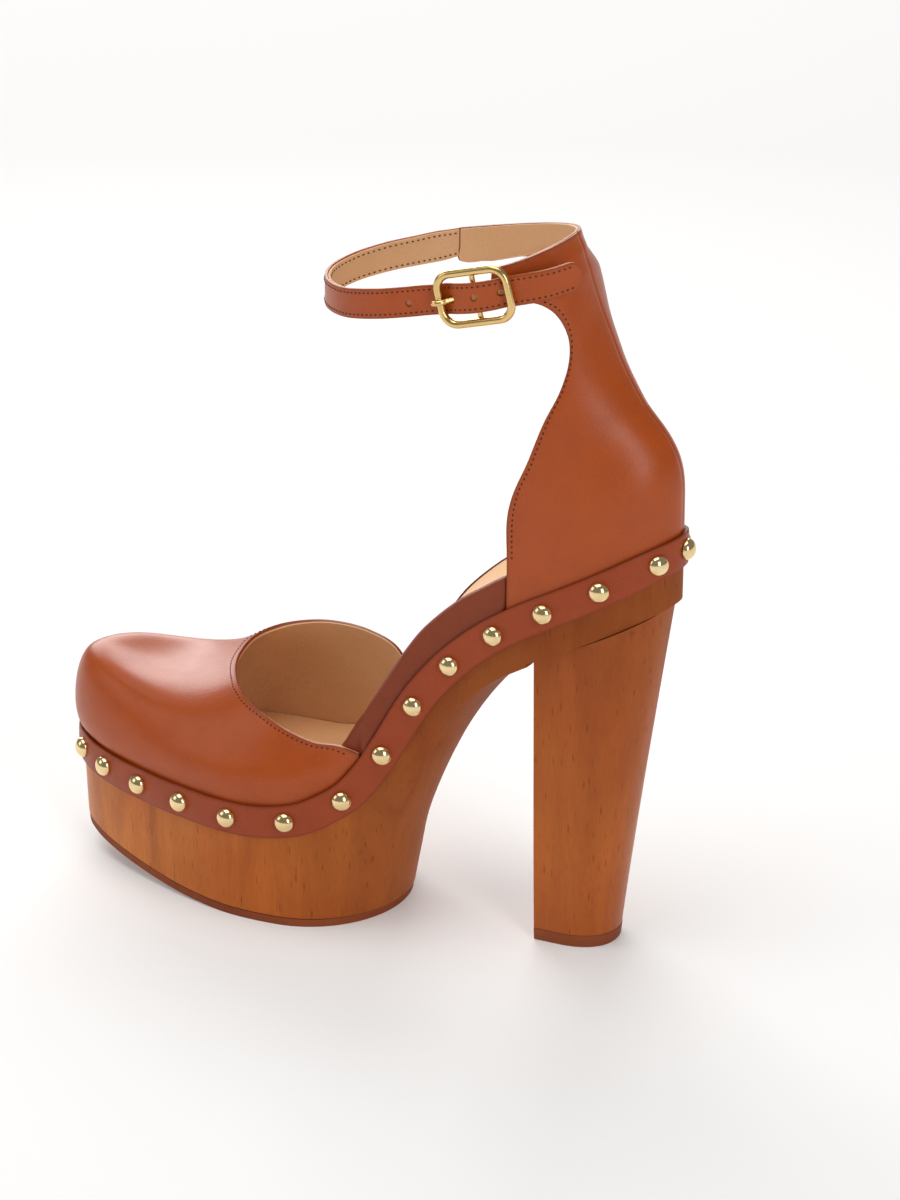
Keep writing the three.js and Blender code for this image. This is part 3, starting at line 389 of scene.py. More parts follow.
def carved(mesh, cuts):
    """The body after other closed bodies are cut from it or shared with it."""
    body = shaped("body", mesh)
    tools = []
    for operation, other in cuts:
        tool = shaped("tool", other)
        change = body.modifiers.new(operation, "BOOLEAN")
        change.operation = operation
        change.object = tool
        change.solver = "EXACT"
        tools.append(tool)
    bpy.context.view_layer.update()
    ready = body.evaluated_get(bpy.context.evaluated_depsgraph_get())
    data = bpy.data.meshes.new_from_object(ready)
    result = bmesh.new()
    result.from_mesh(data)
    bmesh.ops.remove_doubles(result, verts=result.verts, dist=2e-6)
    for old in [body, *tools]:
        bpy.data.meshes.remove(old.data)
    return result


def piece(name, mesh, finish, nodes=(), wall=0.0, rounding=0.0, sharp=40, rim=None):
    """One piece of the shoe. Its wall and its rounded edges come from modifiers."""
    tree_points = rim or [v.co.copy() for v in mesh.verts if v.is_boundary]
    layer = mesh.verts.layers.float.new("rim")
    if tree_points:
        tree = kdtree.KDTree(len(tree_points))
        for i, point in enumerate(tree_points):
            tree.insert(point, i)
        tree.balance()
    for vert in mesh.verts:
        vert[layer] = tree.find(vert.co)[2] / MM if tree_points else 20.0
    for face in mesh.faces:
        face.smooth = True
    for edge in mesh.edges:
        edge.smooth = edge.calc_face_angle(0.0) < math.radians(sharp)
    made = shaped(name, mesh)
    made.data.materials.append(finish)
    if wall:
        skin = made.modifiers.new("skin", "SOLIDIFY")
        skin.thickness = wall * MM
        skin.offset = -1.0
    if rounding:
        edge = made.modifiers.new("edge", "BEVEL")
        edge.width = rounding * MM
        edge.segments = 3
        edge.limit_method = "ANGLE"
        edge.angle_limit = math.radians(sharp)
        edge.harden_normals = True
    if nodes:
        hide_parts(*nodes)
    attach(made, "root")
    return made


# Finishes


class Value:
    """A socket's value, on which sums are written as plain expressions."""

    def __init__(self, finish, socket):
        self.finish = finish
        self.socket = socket

    def math(self, operation, a, b=0.0, clamp=False):
        settings = {"operation": operation, "use_clamp": clamp}
        return self.finish.node("ShaderNodeMath", settings, {0: a, 1: b})

    def __add__(self, other):
        return self.math("ADD", self, other)

    def __radd__(self, other):
        return self.math("ADD", other, self)

    def __sub__(self, other):
        return self.math("SUBTRACT", self, other)

    def __rsub__(self, other):
        return self.math("SUBTRACT", other, self)

    def __mul__(self, other):
        return self.math("MULTIPLY", self, other)

    def __rmul__(self, other):
        return self.math("MULTIPLY", other, self)

    def __truediv__(self, other):
        return self.math("DIVIDE", self, other)

    def __pow__(self, other):
        return self.math("POWER", self, other)

    def clamp(self):
        return self.math("ADD", self, 0.0, clamp=True)


class Finish:
    """A surface finish, built up from nodes on one shader."""

    def __init__(self, name, **fixed):
        self.material = bpy.data.materials.new(name)
        self.material.use_nodes = True
        self.tree = self.material.node_tree
        self.shader = self.tree.nodes["Principled BSDF"]
        for socket, value in fixed.items():
            self.shader.inputs[socket.replace("_", " ")].default_value = value
        self.place = self.node("ShaderNodeTexCoord", output="Object")

    def node(self, kind, settings=None, inputs=None, output=0):
        """A node with its settings made first, then its sockets filled with values or links."""
        made = self.tree.nodes.new(kind)
        for key, value in (settings or {}).items():
            setattr(made, key, value)
        for key, value in (inputs or {}).items():
            self.fill(made.inputs[key], value)
        return Value(self, made.outputs[output])

    def fill(self, socket, value):
        if isinstance(value, Value):
            self.tree.links.new(value.socket, socket)
        elif isinstance(value, tuple) and len(value) == 3 and socket.type == "RGBA":
            socket.default_value = (*value, 1.0)
        else:
            socket.default_value = value

    def set(self, socket, value):
        self.fill(self.shader.inputs[socket], value)

    def mix(self, amount, low, high):
        settings = {"data_type": "RGBA", "clamp_factor": True}
        return self.node("ShaderNodeMix", settings, {0: amount, 6: low, 7: high}, output=2)

    def stretched(self, scale, turn=(0.0, 0.0, 0.0)):
        return self.node(
            "ShaderNodeMapping", {}, {"Vector": self.place, "Scale": scale, "Rotation": turn}
        )

    def noise(self, scale, detail=2.0, rough=0.5, bend=0.0, at=None):
        return self.node(
            "ShaderNodeTexNoise",
            {"noise_dimensions": "3D"},
            {"Vector": at or self.place, "Scale": scale, "Detail": detail,
             "Roughness": rough, "Distortion": bend},
        )

    def cells(self, scale, at=None):
        return self.node(
            "ShaderNodeTexVoronoi", {"feature": "F1"}, {"Vector": at or self.place, "Scale": scale}
        )

    def rim(self):
        return self.node("ShaderNodeAttribute", {"attribute_name": "rim"}, output=2)

    def bump(self, height, depth, strength=1.0):
        self.set(
            "Normal",
            self.node(
                "ShaderNodeBump", {}, {"Height": height, "Distance": depth, "Strength": strength}
            ),
        )


def tone(red, green, blue):
    """A given colour, as light."""
    return tuple(
        c / 12.92 if c <= 0.04045 else ((c + 0.055) / 1.055) ** 2.4
        for c in (red / 255, green / 255, blue / 255)
    )


def calf(name, light, middle, dark, gloss, coat):
    """Smooth calf: fine pores, a slightly cloudy dye and dark cut edges, whose dark near the rim
    also paints the shade in the gaps and creases beside the band.
    """
    f = Finish(name, Coat_Weight=coat, Coat_Roughness=0.3, Specular_IOR_Level=0.3)
    cloud = f.noise(16.0, 3.0, 0.55)
    mottle = f.noise(110.0, 4.0, 0.6)
    pores = f.cells(1500.0)
    creases = f.noise(520.0, 3.0, 0.6, 0.4)
    # Partly painted shade: the colour goes dark near the rim for the cut edges, and also for the
    # shade in the gaps and creases along the band.
    edge = (1 - f.rim() / 1.3).clamp() ** 1.5
    dye = f.mix((cloud * 1.6 - 0.3).clamp(), middle, light)
    dye = f.mix((mottle * 1.8 - 0.72).clamp() * 0.18, dye, dark)
    dye = f.mix((0.42 - pores).clamp() * 0.5, dye, dark)
    f.set("Base Color", f.mix(edge * 0.45, dye, dark))
    f.set("Roughness", gloss + (mottle - 0.5) * 0.12 + edge * 0.15)
    f.bump(pores * 0.5 + creases * 0.6 + mottle * 0.5, 0.00012, 0.55)
    return f.material


def lining_skin(name, light, middle, dark):
    """Undyed lining leather: matte, with a fine grain and small clouds."""
    f = Finish(name, Specular_IOR_Level=0.3)
    cloud = f.noise(24.0, 3.0, 0.55)
    grain = f.noise(900.0, 3.0, 0.65)
    pores = f.cells(1100.0)
    edge = (1 - f.rim() / 1.0).clamp()
    dye = f.mix((cloud * 1.5 - 0.25).clamp(), middle, light)
    dye = f.mix((0.4 - pores).clamp() * 0.6, dye, dark)
    f.set("Base Color", f.mix(edge * 0.35, dye, light))
    f.set("Roughness", 0.62 + (grain - 0.5) * 0.2)
    f.bump(pores * 0.6 + grain * 0.6, 0.00014, 0.6)
    return f.material


def beech(name, light, middle, dark, grain, shade):
    """Stained beech, cloudy in colour, with faint bands, short dark flecks along the grain and
    painted shade that deepens it along one axis.
    """
    f = Finish(name, Coat_Weight=0.03, Coat_Roughness=0.28, Specular_IOR_Level=0.18)
    along = f.stretched(grain)
    bands = f.noise(60.0, 4.0, 0.6, 0.8, at=along)
    cloud = f.noise(14.0, 3.0, 0.5, 0.6)
    fibre = f.noise(1300.0, 3.0, 0.6, at=along)
    flecks = f.cells(620.0, at=along)
    sparse = f.noise(190.0, 2.0, 0.5)
    fleck = (0.26 - flecks).clamp() * 6.0 * (sparse * 4.0 - 1.5).clamp()
    stain_and_shade = f.mix((cloud * 2.2 - 0.6).clamp(), middle, light)
    stain_and_shade = f.mix((bands * 2.4 - 0.95).clamp() * 0.5, stain_and_shade, dark)
    stain_and_shade = f.mix((fibre * 2.0 - 0.8).clamp() * 0.25, stain_and_shade, dark)
    # Painted shade: from shade[1] to shade[2] metres along one object axis the colour deepens by up
    # to shade[3], standing for the shade on the platform's rear and arch and up the heel towards
    # its top.
    depth = f.node("ShaderNodeSeparateXYZ", {}, {"Vector": f.place}, output=shade[0])
    painted_shade = ((depth - shade[1]) / (shade[2] - shade[1])).clamp()
    stain_and_shade = f.mix(painted_shade * shade[3], stain_and_shade, dark)
    f.set("Base Color", f.mix(fleck.clamp() * 0.48, stain_and_shade, tone(82, 33, 14)))
    f.set("Roughness", 0.36 + (bands - 0.5) * 0.12 + fleck * 0.1 + painted_shade * 0.3)
    f.bump(fibre * 0.35 - fleck * 0.8 + bands * 0.3, 0.00008, 0.5)
    return f.material


def sole_leather(name, light, dark):
    """Matte composition of the outsole and the top lift."""
    f = Finish(name, Specular_IOR_Level=0.3)
    cloud = f.noise(40.0, 3.0, 0.6)
    grit = f.noise(1400.0, 3.0, 0.7)
    scuffs = f.noise(260.0, 4.0, 0.7, 1.5)
    dye = f.mix((cloud * 1.6 - 0.3).clamp(), light, dark)
    dye = f.mix((grit * 1.8 - 0.7).clamp() * 0.5, dye, dark)
    f.set("Base Color", dye)
    f.set("Roughness", 0.66 + (scuffs - 0.5) * 0.3)
    f.bump(grit + scuffs * 0.6, 0.0001, 0.6)
    return f.material


def brass(name, light, dark, polish):
    """Polished brass with hairline scratches and a slightly uneven lacquer."""
    f = Finish(name, Metallic=1.0)
    cloud = f.noise(90.0, 2.0, 0.5)
    lines = f.noise(900.0, 2.0, 0.6, at=f.stretched((1.0, 9.0, 1.0), (0.3, 0.5, 0.9)))
    f.set("Base Color", f.mix((cloud * 1.6 - 0.3).clamp(), light, dark))
    f.set("Roughness", polish + (lines - 0.5) * 0.1 + (cloud - 0.5) * 0.06)
    f.bump(lines + cloud * 2.0, 0.00002, 0.35)
    return f.material


def thread(name, light, dark):
    """Waxed thread, twisted and a little uneven."""
    f = Finish(name, Specular_IOR_Level=0.3)
    twist = f.noise(2600.0, 2.0, 0.5)
    f.set("Base Color", f.mix((twist * 1.6 - 0.3).clamp(), light, dark))
    f.set("Roughness", 0.6 + (twist - 0.5) * 0.2)
    f.bump(twist, 0.00008, 0.6)
    return f.material


COGNAC = calf("cognac_calf", tone(180, 80, 22), tone(170, 71, 16), tone(92, 33, 8), 0.36, 0.12)
BAND_CALF = calf("band_calf", tone(164, 67, 22), tone(152, 58, 16), tone(84, 30, 9), 0.42, 0.05)
EDGE_SKIN = calf(
    "footbed_edge_calf", tone(142, 60, 24), tone(128, 50, 18), tone(76, 26, 9), 0.42, 0.05
)
TAN = lining_skin("tan_lining", tone(226, 180, 136), tone(214, 164, 116), tone(174, 122, 80))
SOCK = lining_skin("tan_footbed", tone(236, 186, 136), tone(226, 174, 122), tone(186, 132, 86))
# The last tuple of each beech is its painted shade: axis, start and end in metres, strength.
PLATFORM_BEECH = beech(
    "platform_beech", tone(216, 130, 54), tone(192, 96, 28), tone(112, 44, 14),
    (1.0, 1.0, 0.16), (1, 0.0, 0.06, 0.65),
)
HEEL_BEECH = beech(
    "heel_beech", tone(196, 108, 44), tone(176, 84, 28), tone(116, 48, 18),
    (1.0, 1.0, 0.16), (2, 0.03, 0.14, 0.5),
)
SOLE = sole_leather("brown_sole", tone(156, 80, 38), tone(126, 58, 26))
NAIL_BRASS = brass("nail_brass", (0.9, 0.71, 0.4), (0.8, 0.6, 0.3), 0.13)
BUCKLE_BRASS = brass("buckle_brass", (0.84, 0.6, 0.26), (0.7, 0.48, 0.18), 0.2)
DARK_THREAD = thread("brown_thread", tone(88, 35, 15), tone(58, 22, 9))


# Wood, soles and heel


def side_inset(z):
    return SIDE_INSET * max(1 - (z + 4) / (PLATFORM_Z - BAND_WIDTH / 2 + 5.6), 0)


def rear_curve(z, steps):
    """Rear of the platform, or the arch's underside, at one height."""
    bow = through(ARCH_BOW, z)
    start = REAR_Y + through(ARCH_BACK, z) - bow
    outer = on_outline(arc_at(start, 1), 0.02 - side_inset(z)).x
    inner = -on_outline(arc_at(start, -1), 0.02 - side_inset(z)).x
    curve = []
    for i in range(steps + 1):
        turn = math.pi * i / steps
        half = outer if turn < math.pi / 2 else inner
        curve.append(Vector((half * math.cos(turn), start + bow * math.sin(turn), z)))
    return curve


def platform():
    columns = 300

    def foot(y):
        return band_z(y) - upright(band_z, y, BAND_WIDTH / 2 - 1.6)

    rows = (
        (-SIDE_INSET, lambda y: -4.0),
        (0.0, foot),
        (-REBATE, lambda y: foot(y) + 0.4),
        (-REBATE, lambda y: SEAT_Z + 60),
    )
    rings = []
    for out, height in rows:
        arcs = [RUN * i / columns for i in range(columns)]
        rings.append([on_outline(a, out, height(on_outline(a).y)) for a in arcs])

    low = OUTSOLE + GAP
    side = []
    for i in range(41):
        y = lerp(TOE_Y - 6, SPRING_Y, i / 40)
        side.append((y, spring_z(y) + low))
    side += [(JOINT_Y, low), (JOINT_Y, JOINT_Z)]
    side.append((HEEL_Y + 8, JOINT_Z + JOINT_SLOPE * (HEEL_Y + 8 - JOINT_Y)))
    for i in range(121):
        y = lerp(HEEL_Y + 8, TOE_Y - 6, i / 120)
        side.append((y, footbed_z(y) - upright(footbed_z, y, INSOLE + GAP)))

    cutter = []
    for i in range(61):
        z = lerp(-2, 105.1, i / 60)
        curve = rear_curve(z, 72)
        start = curve[0].y
        ends = [Vector((-80, start, z)), Vector((-80, 200, z)), Vector((80, 200, z))]
        cutter.append([Vector((80, start, z)), *curve, *ends])
    body = carved(
        loft(rings), [("INTERSECT", side_block(side, 60)), ("DIFFERENCE", loft(cutter))]
    )
    piece("platform", body, PLATFORM_BEECH, ["wood_sole"], sharp=28)


def heel_ring(z, grow=0.0):
    """Outline of the heel at a height: a flat breast and a rounded back."""
    t = z / HEEL_TOP_Z
    half = lerp(HEEL_FOOT, HEEL_TOP, t**0.85) + grow
    depth = lerp(HEEL_FOOT_DEPTH, HEEL_TOP_DEPTH, t**1.12) + 2 * grow
    front = HEEL_FRONT_Y + 2.2 * t - grow
    centre = front + depth * 0.4
    ring = []
    for i in range(11):
        ring.append(Vector((lerp(-0.96, 0.96, i / 10) * half, front, z)))
    for i in range(1, 8):
        ring.append(Vector((lerp(0.96, 1.0, i / 8) * half, lerp(front, centre, i / 8), z)))
    for i in range(65):
        turn = math.pi * i / 64
        c, s = math.cos(turn), max(math.sin(turn), 0.0)
        x = math.copysign(abs(c) ** 0.889, c) * half
        ring.append(Vector((x, centre + depth * 0.6 * s**0.889, z)))
    for i in range(1, 8):
        ring.append(Vector((-lerp(1.0, 0.96, i / 8) * half, lerp(centre, front, i / 8), z)))
    return ring


def heel():
    low = LIFT + 0.05
    top = JOINT_Z + JOINT_SLOPE * (HEEL_Y + 10 - JOINT_Y)
    mesh = loft([heel_ring(lerp(low, top, i / 48)) for i in range(49)])
    joint = Vector((0, JOINT_Y, JOINT_Z - GAP)) * MM
    lean = Vector((0, -JOINT_SLOPE, 1)).normalized()
    everything = [*mesh.verts, *mesh.edges, *mesh.faces]
    bmesh.ops.bisect_plane(
        mesh, geom=everything, plane_co=joint, plane_no=lean, clear_outer=True
    )
    bmesh.ops.holes_fill(mesh, edges=mesh.edges)
    bmesh.ops.recalc_face_normals(mesh, faces=mesh.faces)
    piece("heel", mesh, HEEL_BEECH, ["heel_block"], rounding=0.7, sharp=45)


def top_lift():
    mesh = loft([heel_ring(0, 0.1), heel_ring(LIFT / 2, 0.12), heel_ring(LIFT, 0.15)])
    piece("top_lift", mesh, SOLE, ["heel_top_lift"], rounding=0.45, sharp=45)


def forepart_sole():
    reach = SIDE_INSET - 0.2
    outer_start, inner_start = arc_at(REAR_CENTRE_Y, 1), arc_at(REAR_CENTRE_Y, -1)
    rungs = []
    for i in range(1, 121):
        t = i / 120
        left = on_outline(lerp(TOE_ARC, outer_start, t), -reach)
        right = on_outline(lerp(TOE_ARC + RUN, inner_start, t), -reach)
        rungs.append((left, right))
    left, right = rungs[-1]
    for i in range(1, 40):
        turn = math.pi / 2 * i / 40
        y = REAR_CENTRE_Y + (REAR_Y - REAR_CENTRE_Y) * math.sin(turn)
        ends = [Vector((p.x * math.cos(turn), y, 0)) for p in (left, right)]
        rungs.append(tuple(ends))
    rings = []
    for left, right in rungs:
        low = [Vector((p.x, p.y, spring_z(p.y))) for p in (left, right)]
        high = [p + Vector((0, 0, OUTSOLE)) for p in reversed(low)]
        rings.append([*low, *high])
    mesh = loft(rings)
    piece("forepart_sole", mesh, SOLE, ["outsole"], rounding=0.4, sharp=45)


# Footbed, with the calf turned over its edge in the open arch


def footbed():
    def opened(y):
        """How far the footbed's edge shows: not under the wing, nor under the counter."""
        ahead = smooth((y - WING_Y - 2.0) / 2.0)
        return ahead * smooth((COUNTER_FRONT_Y - 1.3 - y) / 1.5)

    @functools.lru_cache(maxsize=None)
    def ends(y):
        under_wing = lerp(-REBATE, -REBATE - 0.9, smooth((y - WING_Y + 18) / 4))
        out = lerp(under_wing, -1.0, opened(y))
        return on_outline(arc_at(y, 1, out), out), on_outline(arc_at(y, -1, out), out)

    def place(u, v):
        middle = (TOE_Y + HEEL_Y) / 2
        y = round(middle - ((HEEL_Y - TOE_Y) / 2 - REBATE - 0.3) * math.cos(math.pi * u), 4)
        left, right = ends(y)
        p = left.lerp(right, v)
        return Vector((p.x, y, footbed_z(y) - 1.4 * math.sin(math.pi * v)))

    mesh = surface(200, 24, place)
    face_away(mesh, (0, 30, -400))
    piece("footbed", mesh, SOCK, ["insole"], wall=2.2, rounding=0.4)


def arch_edge(name, start, end):
    """Calf that wraps the footbed's edge between the vamp and the counter."""
    roll = 1.1

    def place(u, v):
        a = lerp(start, end, u)
        y = on_outline(a).y
        shown = smooth((y - WING_Y + 1) / 3) * smooth((COUNTER_FRONT_Y + 0.5 - y) / 2)
        tucked = -REBATE * (1 - shown)
        foot = band_z(y) - upright(band_z, y, BAND_WIDTH / 2 - 2.4)
        top = footbed_z(y) + 0.5
        if v < 0.7:
            return on_outline(a, tucked, lerp(foot, top - roll, v / 0.7))
        turn = math.pi * 0.5 * (v - 0.7) / 0.3
        out = tucked + roll * (math.cos(turn) - 1) - 0.8 * turn
        return on_outline(a, out, top - roll + roll * math.sin(turn))

    mesh = surface(90, 20, place)
    middle = on_outline((start + end) / 2, -10, 80)
    face_away(mesh, middle)
    piece(name, mesh, EDGE_SKIN, wall=0.9, rounding=0.2)


# Vamp

OUTER_WING, INNER_WING = arc_at(WING_Y, 1), arc_at(WING_Y, -1) - RUN


def wing_z(y):
    return band_z(y) + upright(band_z, y, BAND_WIDTH / 2) + 1


THROAT_LINE = Path(
    [
        on_outline(OUTER_WING, 0, wing_z(WING_Y)),
        *(
            (across * (OUTER_BALL if across > 0 else INNER_BALL), y, PLATFORM_Z + up)
            for across, y, up in THROAT
        ),
        on_outline(INNER_WING, 0, wing_z(WING_Y)),
    ]
)


@functools.lru_cache(maxsize=None)
def vamp_rib(u):
    """Handles of one rib, from the band over the last to the throat."""
    side = abs(1 - 2 * u)
    arc = lerp(TOE_ARC, OUTER_WING if u < 0.5 else INNER_WING, side)
    y = on_outline(arc).y
    foot = on_outline(arc, 0, band_z(y) - upright(band_z, y, BAND_WIDTH / 2 - 2.4))
    start = on_outline(arc, 0, band_z(y) + upright(band_z, y, BAND_WIDTH / 2))
    share = 0.5 * side**0.8
    end = THROAT_LINE.point(0.5 - share if u < 0.5 else 0.5 + share)
    out = on_outline(arc, 1) - on_outline(arc, 0)
    rise = end.z - start.z
    front = smooth(1 - side / TOE_SHARE)
    pull = smooth(rise / 15)
    low = start + out * lerp(0.6, TOE_BULGE, front) * pull
    low.z = start.z + rise * lerp(0.25, 0.12, front)
    first = start + out * lerp(1.2, TOE_TUCK, front) * pull
    first.z = start.z + rise * lerp(0.5, 1.98, front)
    second = end.lerp(start, lerp(0.5, 0.92, front))
    flat = math.hypot(second.x - end.x, second.y - end.y)
    second.z = end.z - lerp(min(flat * 0.9, rise * 0.4), rise * 0.82, front)
    return foot, (start, low, first, second, end)


def vamp_place(u, v):
    foot, handles = vamp_rib(u)
    if v < 0.08:
        return foot.lerp(handles[0], v / 0.08)
    return bend(handles, (v - 0.08) / 0.92)


def vamp():
    inside = (0, -20, 50)
    skin = surface(220, 56, vamp_place)
    face_away(skin, inside)
    piece("vamp_calf", skin, COGNAC, ["vamp"], wall=UPPER_SKIN, rounding=0.35)
    under = surface(180, 44, lambda u, v: vamp_place(u, v * 0.998))
    face_away(under, inside)
    sink(under, UPPER_SKIN + SKIN_GAP)
    piece("vamp_lining", under, TAN, wall=LINING_SKIN, rounding=0.2)


# Counter

SEAM_LINE = Path([(0, y, z) for (y, z), outer, inner in COUNTER])
OUTER_FRONT_LINE = Path([outer for seam, outer, inner in COUNTER])
INNER_FRONT_LINE = Path([inner for seam, outer, inner in COUNTER])
OUTER_FRONT, INNER_FRONT = arc_at(COUNTER_FRONT_Y, 1), arc_at(COUNTER_FRONT_Y, -1)


def on_band(t, across):
    arc = lerp(BACK_ARC, OUTER_FRONT, t) if t > 0 else lerp(BACK_ARC, INNER_FRONT, -t)
    y = on_outline(arc).y
    return on_outline(arc, 0, band_z(y) + upright(band_z, y, across))


def counter_level(level, t):
    """Point on a level above the band. t: 1 outer front, 0 back seam, -1 inner front."""
    share = level / (len(COUNTER) - 1)
    back = SEAM_LINE.point(share)
    end = (OUTER_FRONT_LINE if t > 0 else INNER_FRONT_LINE).point(share)
    first = Vector((end.x * 0.55, back.y, back.z))
    second = Vector((end.x * 1.02, (back.y + end.y) / 2, lerp(back.z, end.z, 0.62)))
    point = bend((back, first, second, end), abs(t))
    low = on_band(t, BAND_WIDTH / 2)
    mixed = low.lerp(point, smooth(level / 3))
    return Vector((mixed.x, mixed.y, point.z))


def counter_place(u, v):
    w = 2 * u - 1
    t = math.copysign(abs(w) ** 1.25, w)
    place = v * (len(COUNTER) + 1)
    if place < 1:
        return on_band(t, lerp(2.4 - BAND_WIDTH / 2, BAND_WIDTH / 2, place))
    if place < 2:
        return on_band(t, BAND_WIDTH / 2).lerp(counter_level(0, t), place - 1)
    return counter_level(place - 2, t)


def counter():
    inside = (0, 112, 190)

    def seamed(u, v):
        p = counter_place(u, v)
        groove = 0.3 * math.exp(-((p.x / 0.7) ** 2))
        return p - Vector((0, groove, 0))

    skin = surface(120, 150, seamed)
    face_away(skin, inside)
    piece(
        "counter_calf", skin, COGNAC, ["counter"], wall=UPPER_SKIN, rounding=0.35
    )

    def lined(u, v):
        """The lining lies level with the calf, moved straight in towards the ankle."""
        across, height = lerp(0.004, 0.996, u), v * 0.997
        p = counter_place(across, height)
        run = counter_place(across + 0.003, height) - counter_place(across - 0.003, height)
        inward = Vector((run.y, -run.x, 0)).normalized()
        if inward.dot(Vector((0, 95, p.z)) - p) < 0:
            inward.negate()
        return p + inward * (UPPER_SKIN + 2 * SKIN_GAP)

    under = surface(80, 110, lined)
    face_away(under, inside)
    piece("counter_lining", under, TAN, wall=LINING_SKIN, rounding=0.2)


# Band and its dome nails


def band_point(arc, across, out):
    before = band_z(on_outline(arc - 0.6).y)
    after = band_z(on_outline(arc + 0.6).y)
    slope = (after - before) / 1.2
    scale = across / math.sqrt(1 + slope * slope)
    return on_outline(arc - slope * scale, out, band_z(on_outline(arc).y) + scale)


def nail_arcs():
    """Places of the nails, by the band's own length from the back seam."""
    steps = 1200
    points = [band_point(BACK_ARC + RUN * i / steps, 0, 0) for i in range(steps + 1)]
    lengths = [0.0]
    for before, after in zip(points, points[1:]):
        lengths.append(lengths[-1] + (after - before).length)
    run = lengths[-1] - 2 * STUD_BACK
    count = round(run / STUD_PITCH)
    wanted = [0.0] + [STUD_BACK + run * k / count for k in range(count + 1)]
    for k, shift in enumerate(STUD_SHIFTS):
        wanted[FIRST_SHIFTED + k] += shift
    return [
        BACK_ARC + RUN * next(i for i, length in enumerate(lengths) if length >= want) / steps
        for want in wanted
    ]


NAILS = nail_arcs()


def band():
    pulled = [band_point(a, 0, GAP + BAND_THICK) for a in NAILS]

    def place(u, v):
        across = (v - 0.5) * BAND_WIDTH
        crown = 0.35 * (2 * v - 1) ** 4
        p = band_point(u * RUN, across, GAP + BAND_THICK - crown)
        near = min((p - nail).length for nail in pulled)
        dip = 0.28 * math.exp(-(((near - STUD_RADIUS) / 2.2) ** 2))
        return band_point(u * RUN, across, GAP + BAND_THICK - crown - dip)

    mesh = surface(640, 12, place, size=(RUN * MM, BAND_WIDTH * MM))
    face_away(mesh, (0, 30, 80))
    piece("nailed_band", mesh, BAND_CALF, ["studded_band"], wall=1.3, rounding=0.3)


def dome():
    """One dome nail's head, its open rim just under the leather."""
    mesh = bmesh.new()
    bmesh.ops.create_uvsphere(mesh, u_segments=32, v_segments=20, radius=1.0)
    bmesh.ops.bisect_plane(
        mesh,
        geom=[*mesh.verts, *mesh.edges, *mesh.faces],
        plane_co=(0, 0, -0.12),
        plane_no=(0, 0, -1),
        clear_outer=True,
    )
    bmesh.ops.holes_fill(mesh, edges=mesh.edges)
    data = bpy.data.meshes.new("dome")
    mesh.to_mesh(data)
    mesh.free()
    return data


def nails():
    mesh = bmesh.new()
    head = dome()
    size = Matrix.Diagonal((STUD_RADIUS, STUD_RADIUS, STUD_HEIGHT + 0.5, 1.0))
    for arc in NAILS:
        out = (on_outline(arc, 1) - on_outline(arc, 0)).normalized()
        turn = out.to_track_quat("Z", "Y").to_matrix().to_4x4()
        place = Matrix.Translation(band_point(arc, 0, GAP + BAND_THICK - 0.1))
        before = len(mesh.verts)
        mesh.from_mesh(head)
        mesh.verts.ensure_lookup_table()
        fresh = mesh.verts[before:]
        bmesh.ops.transform(mesh, matrix=Matrix.Scale(MM, 4) @ place @ turn @ size, verts=fresh)
    names = [f"stud_{k + 1:02d}" for k in range(len(NAILS))]
    piece("dome_nails", mesh, NAIL_BRASS, names)


# Ankle strap and buckle

STRAP_LINE = Path(STRAP)
BUCKLE = Matrix.Translation(BUCKLE_AT) @ Euler((BUCKLE_TILT, 0, 0)).to_matrix().to_4x4()


@functools.lru_cache(maxsize=None)
def strap_station(u):
    """Middle, outward and upward directions and half width of the strap at a share of its run."""
    p = STRAP_LINE.at(u)
    tangent = STRAP_LINE.direction(u)
    out = Vector((tangent.y, -tangent.x, 0)).normalized()
    across = out.cross(tangent).normalized()
    across = across.lerp(Vector((0, 0, 1)), 1 - smooth(u / 0.05))
    across /= across.z
    left = (1 - u) * STRAP_LINE.length / (STRAP_WIDTH / 2)
    tip = math.sqrt(max(1 - (1 - left) ** 2, 0.01)) if left < 1 else 1.0
    return p, out, across, STRAP_WIDTH / 2 * tip


def strap_place(u, v, out_by=STRAP_THICK / 2):
    p, out, across, half = strap_station(u)
    return p + across * (2 * v - 1) * half + out * out_by


def strap_layer(outer, inner, trim, corner):
    """A closed layer of the strap with rounded edges."""
    steps = 300
    shares = [i / steps for i in range(steps)] + [1 - 0.003 * (1 - i / 12) ** 2 for i in range(13)]
    shares = sorted(set(round(s, 6) for s in shares))
    rings = []
    for u in shares:
        p, out, across, half = strap_station(u)
        if u == 0:
            p = p - STRAP_LINE.direction(u) * SEAM_REACH
        half = max(half - trim, 0.3)
        ring = []
        for side_out, side_up, start in ((1, 1, 0), (0, 1, 1), (0, -1, 2), (1, -1, 3)):
            level = outer - corner if side_out else inner + corner
            reach = (half - corner) * side_up
            for i in range(4):
                turn = math.pi / 2 * (start + i / 3)
                ring.append(
                    p + out * (level + corner * math.cos(turn))
                    + across * (reach + corner * math.sin(turn))
                )
            if side_out == (side_up < 0):
                face = outer if side_out else inner
                ring += [p + out * face + across * reach * (1 - i / 4) for i in range(1, 8)]
        rings.append(ring)
    return loft(rings)


def punch(y, radius):
    mesh = bmesh.new()
    bmesh.ops.create_cone(
        mesh, cap_ends=True, segments=24, radius1=radius, radius2=radius, depth=12.0
    )
    turn = Euler((0, math.pi / 2, 0)).to_matrix().to_4x4()
    place = Matrix.Scale(MM, 4) @ BUCKLE @ Matrix.Translation((0, y, 0)) @ turn
    bmesh.ops.transform(mesh, matrix=place, verts=mesh.verts)
    return mesh


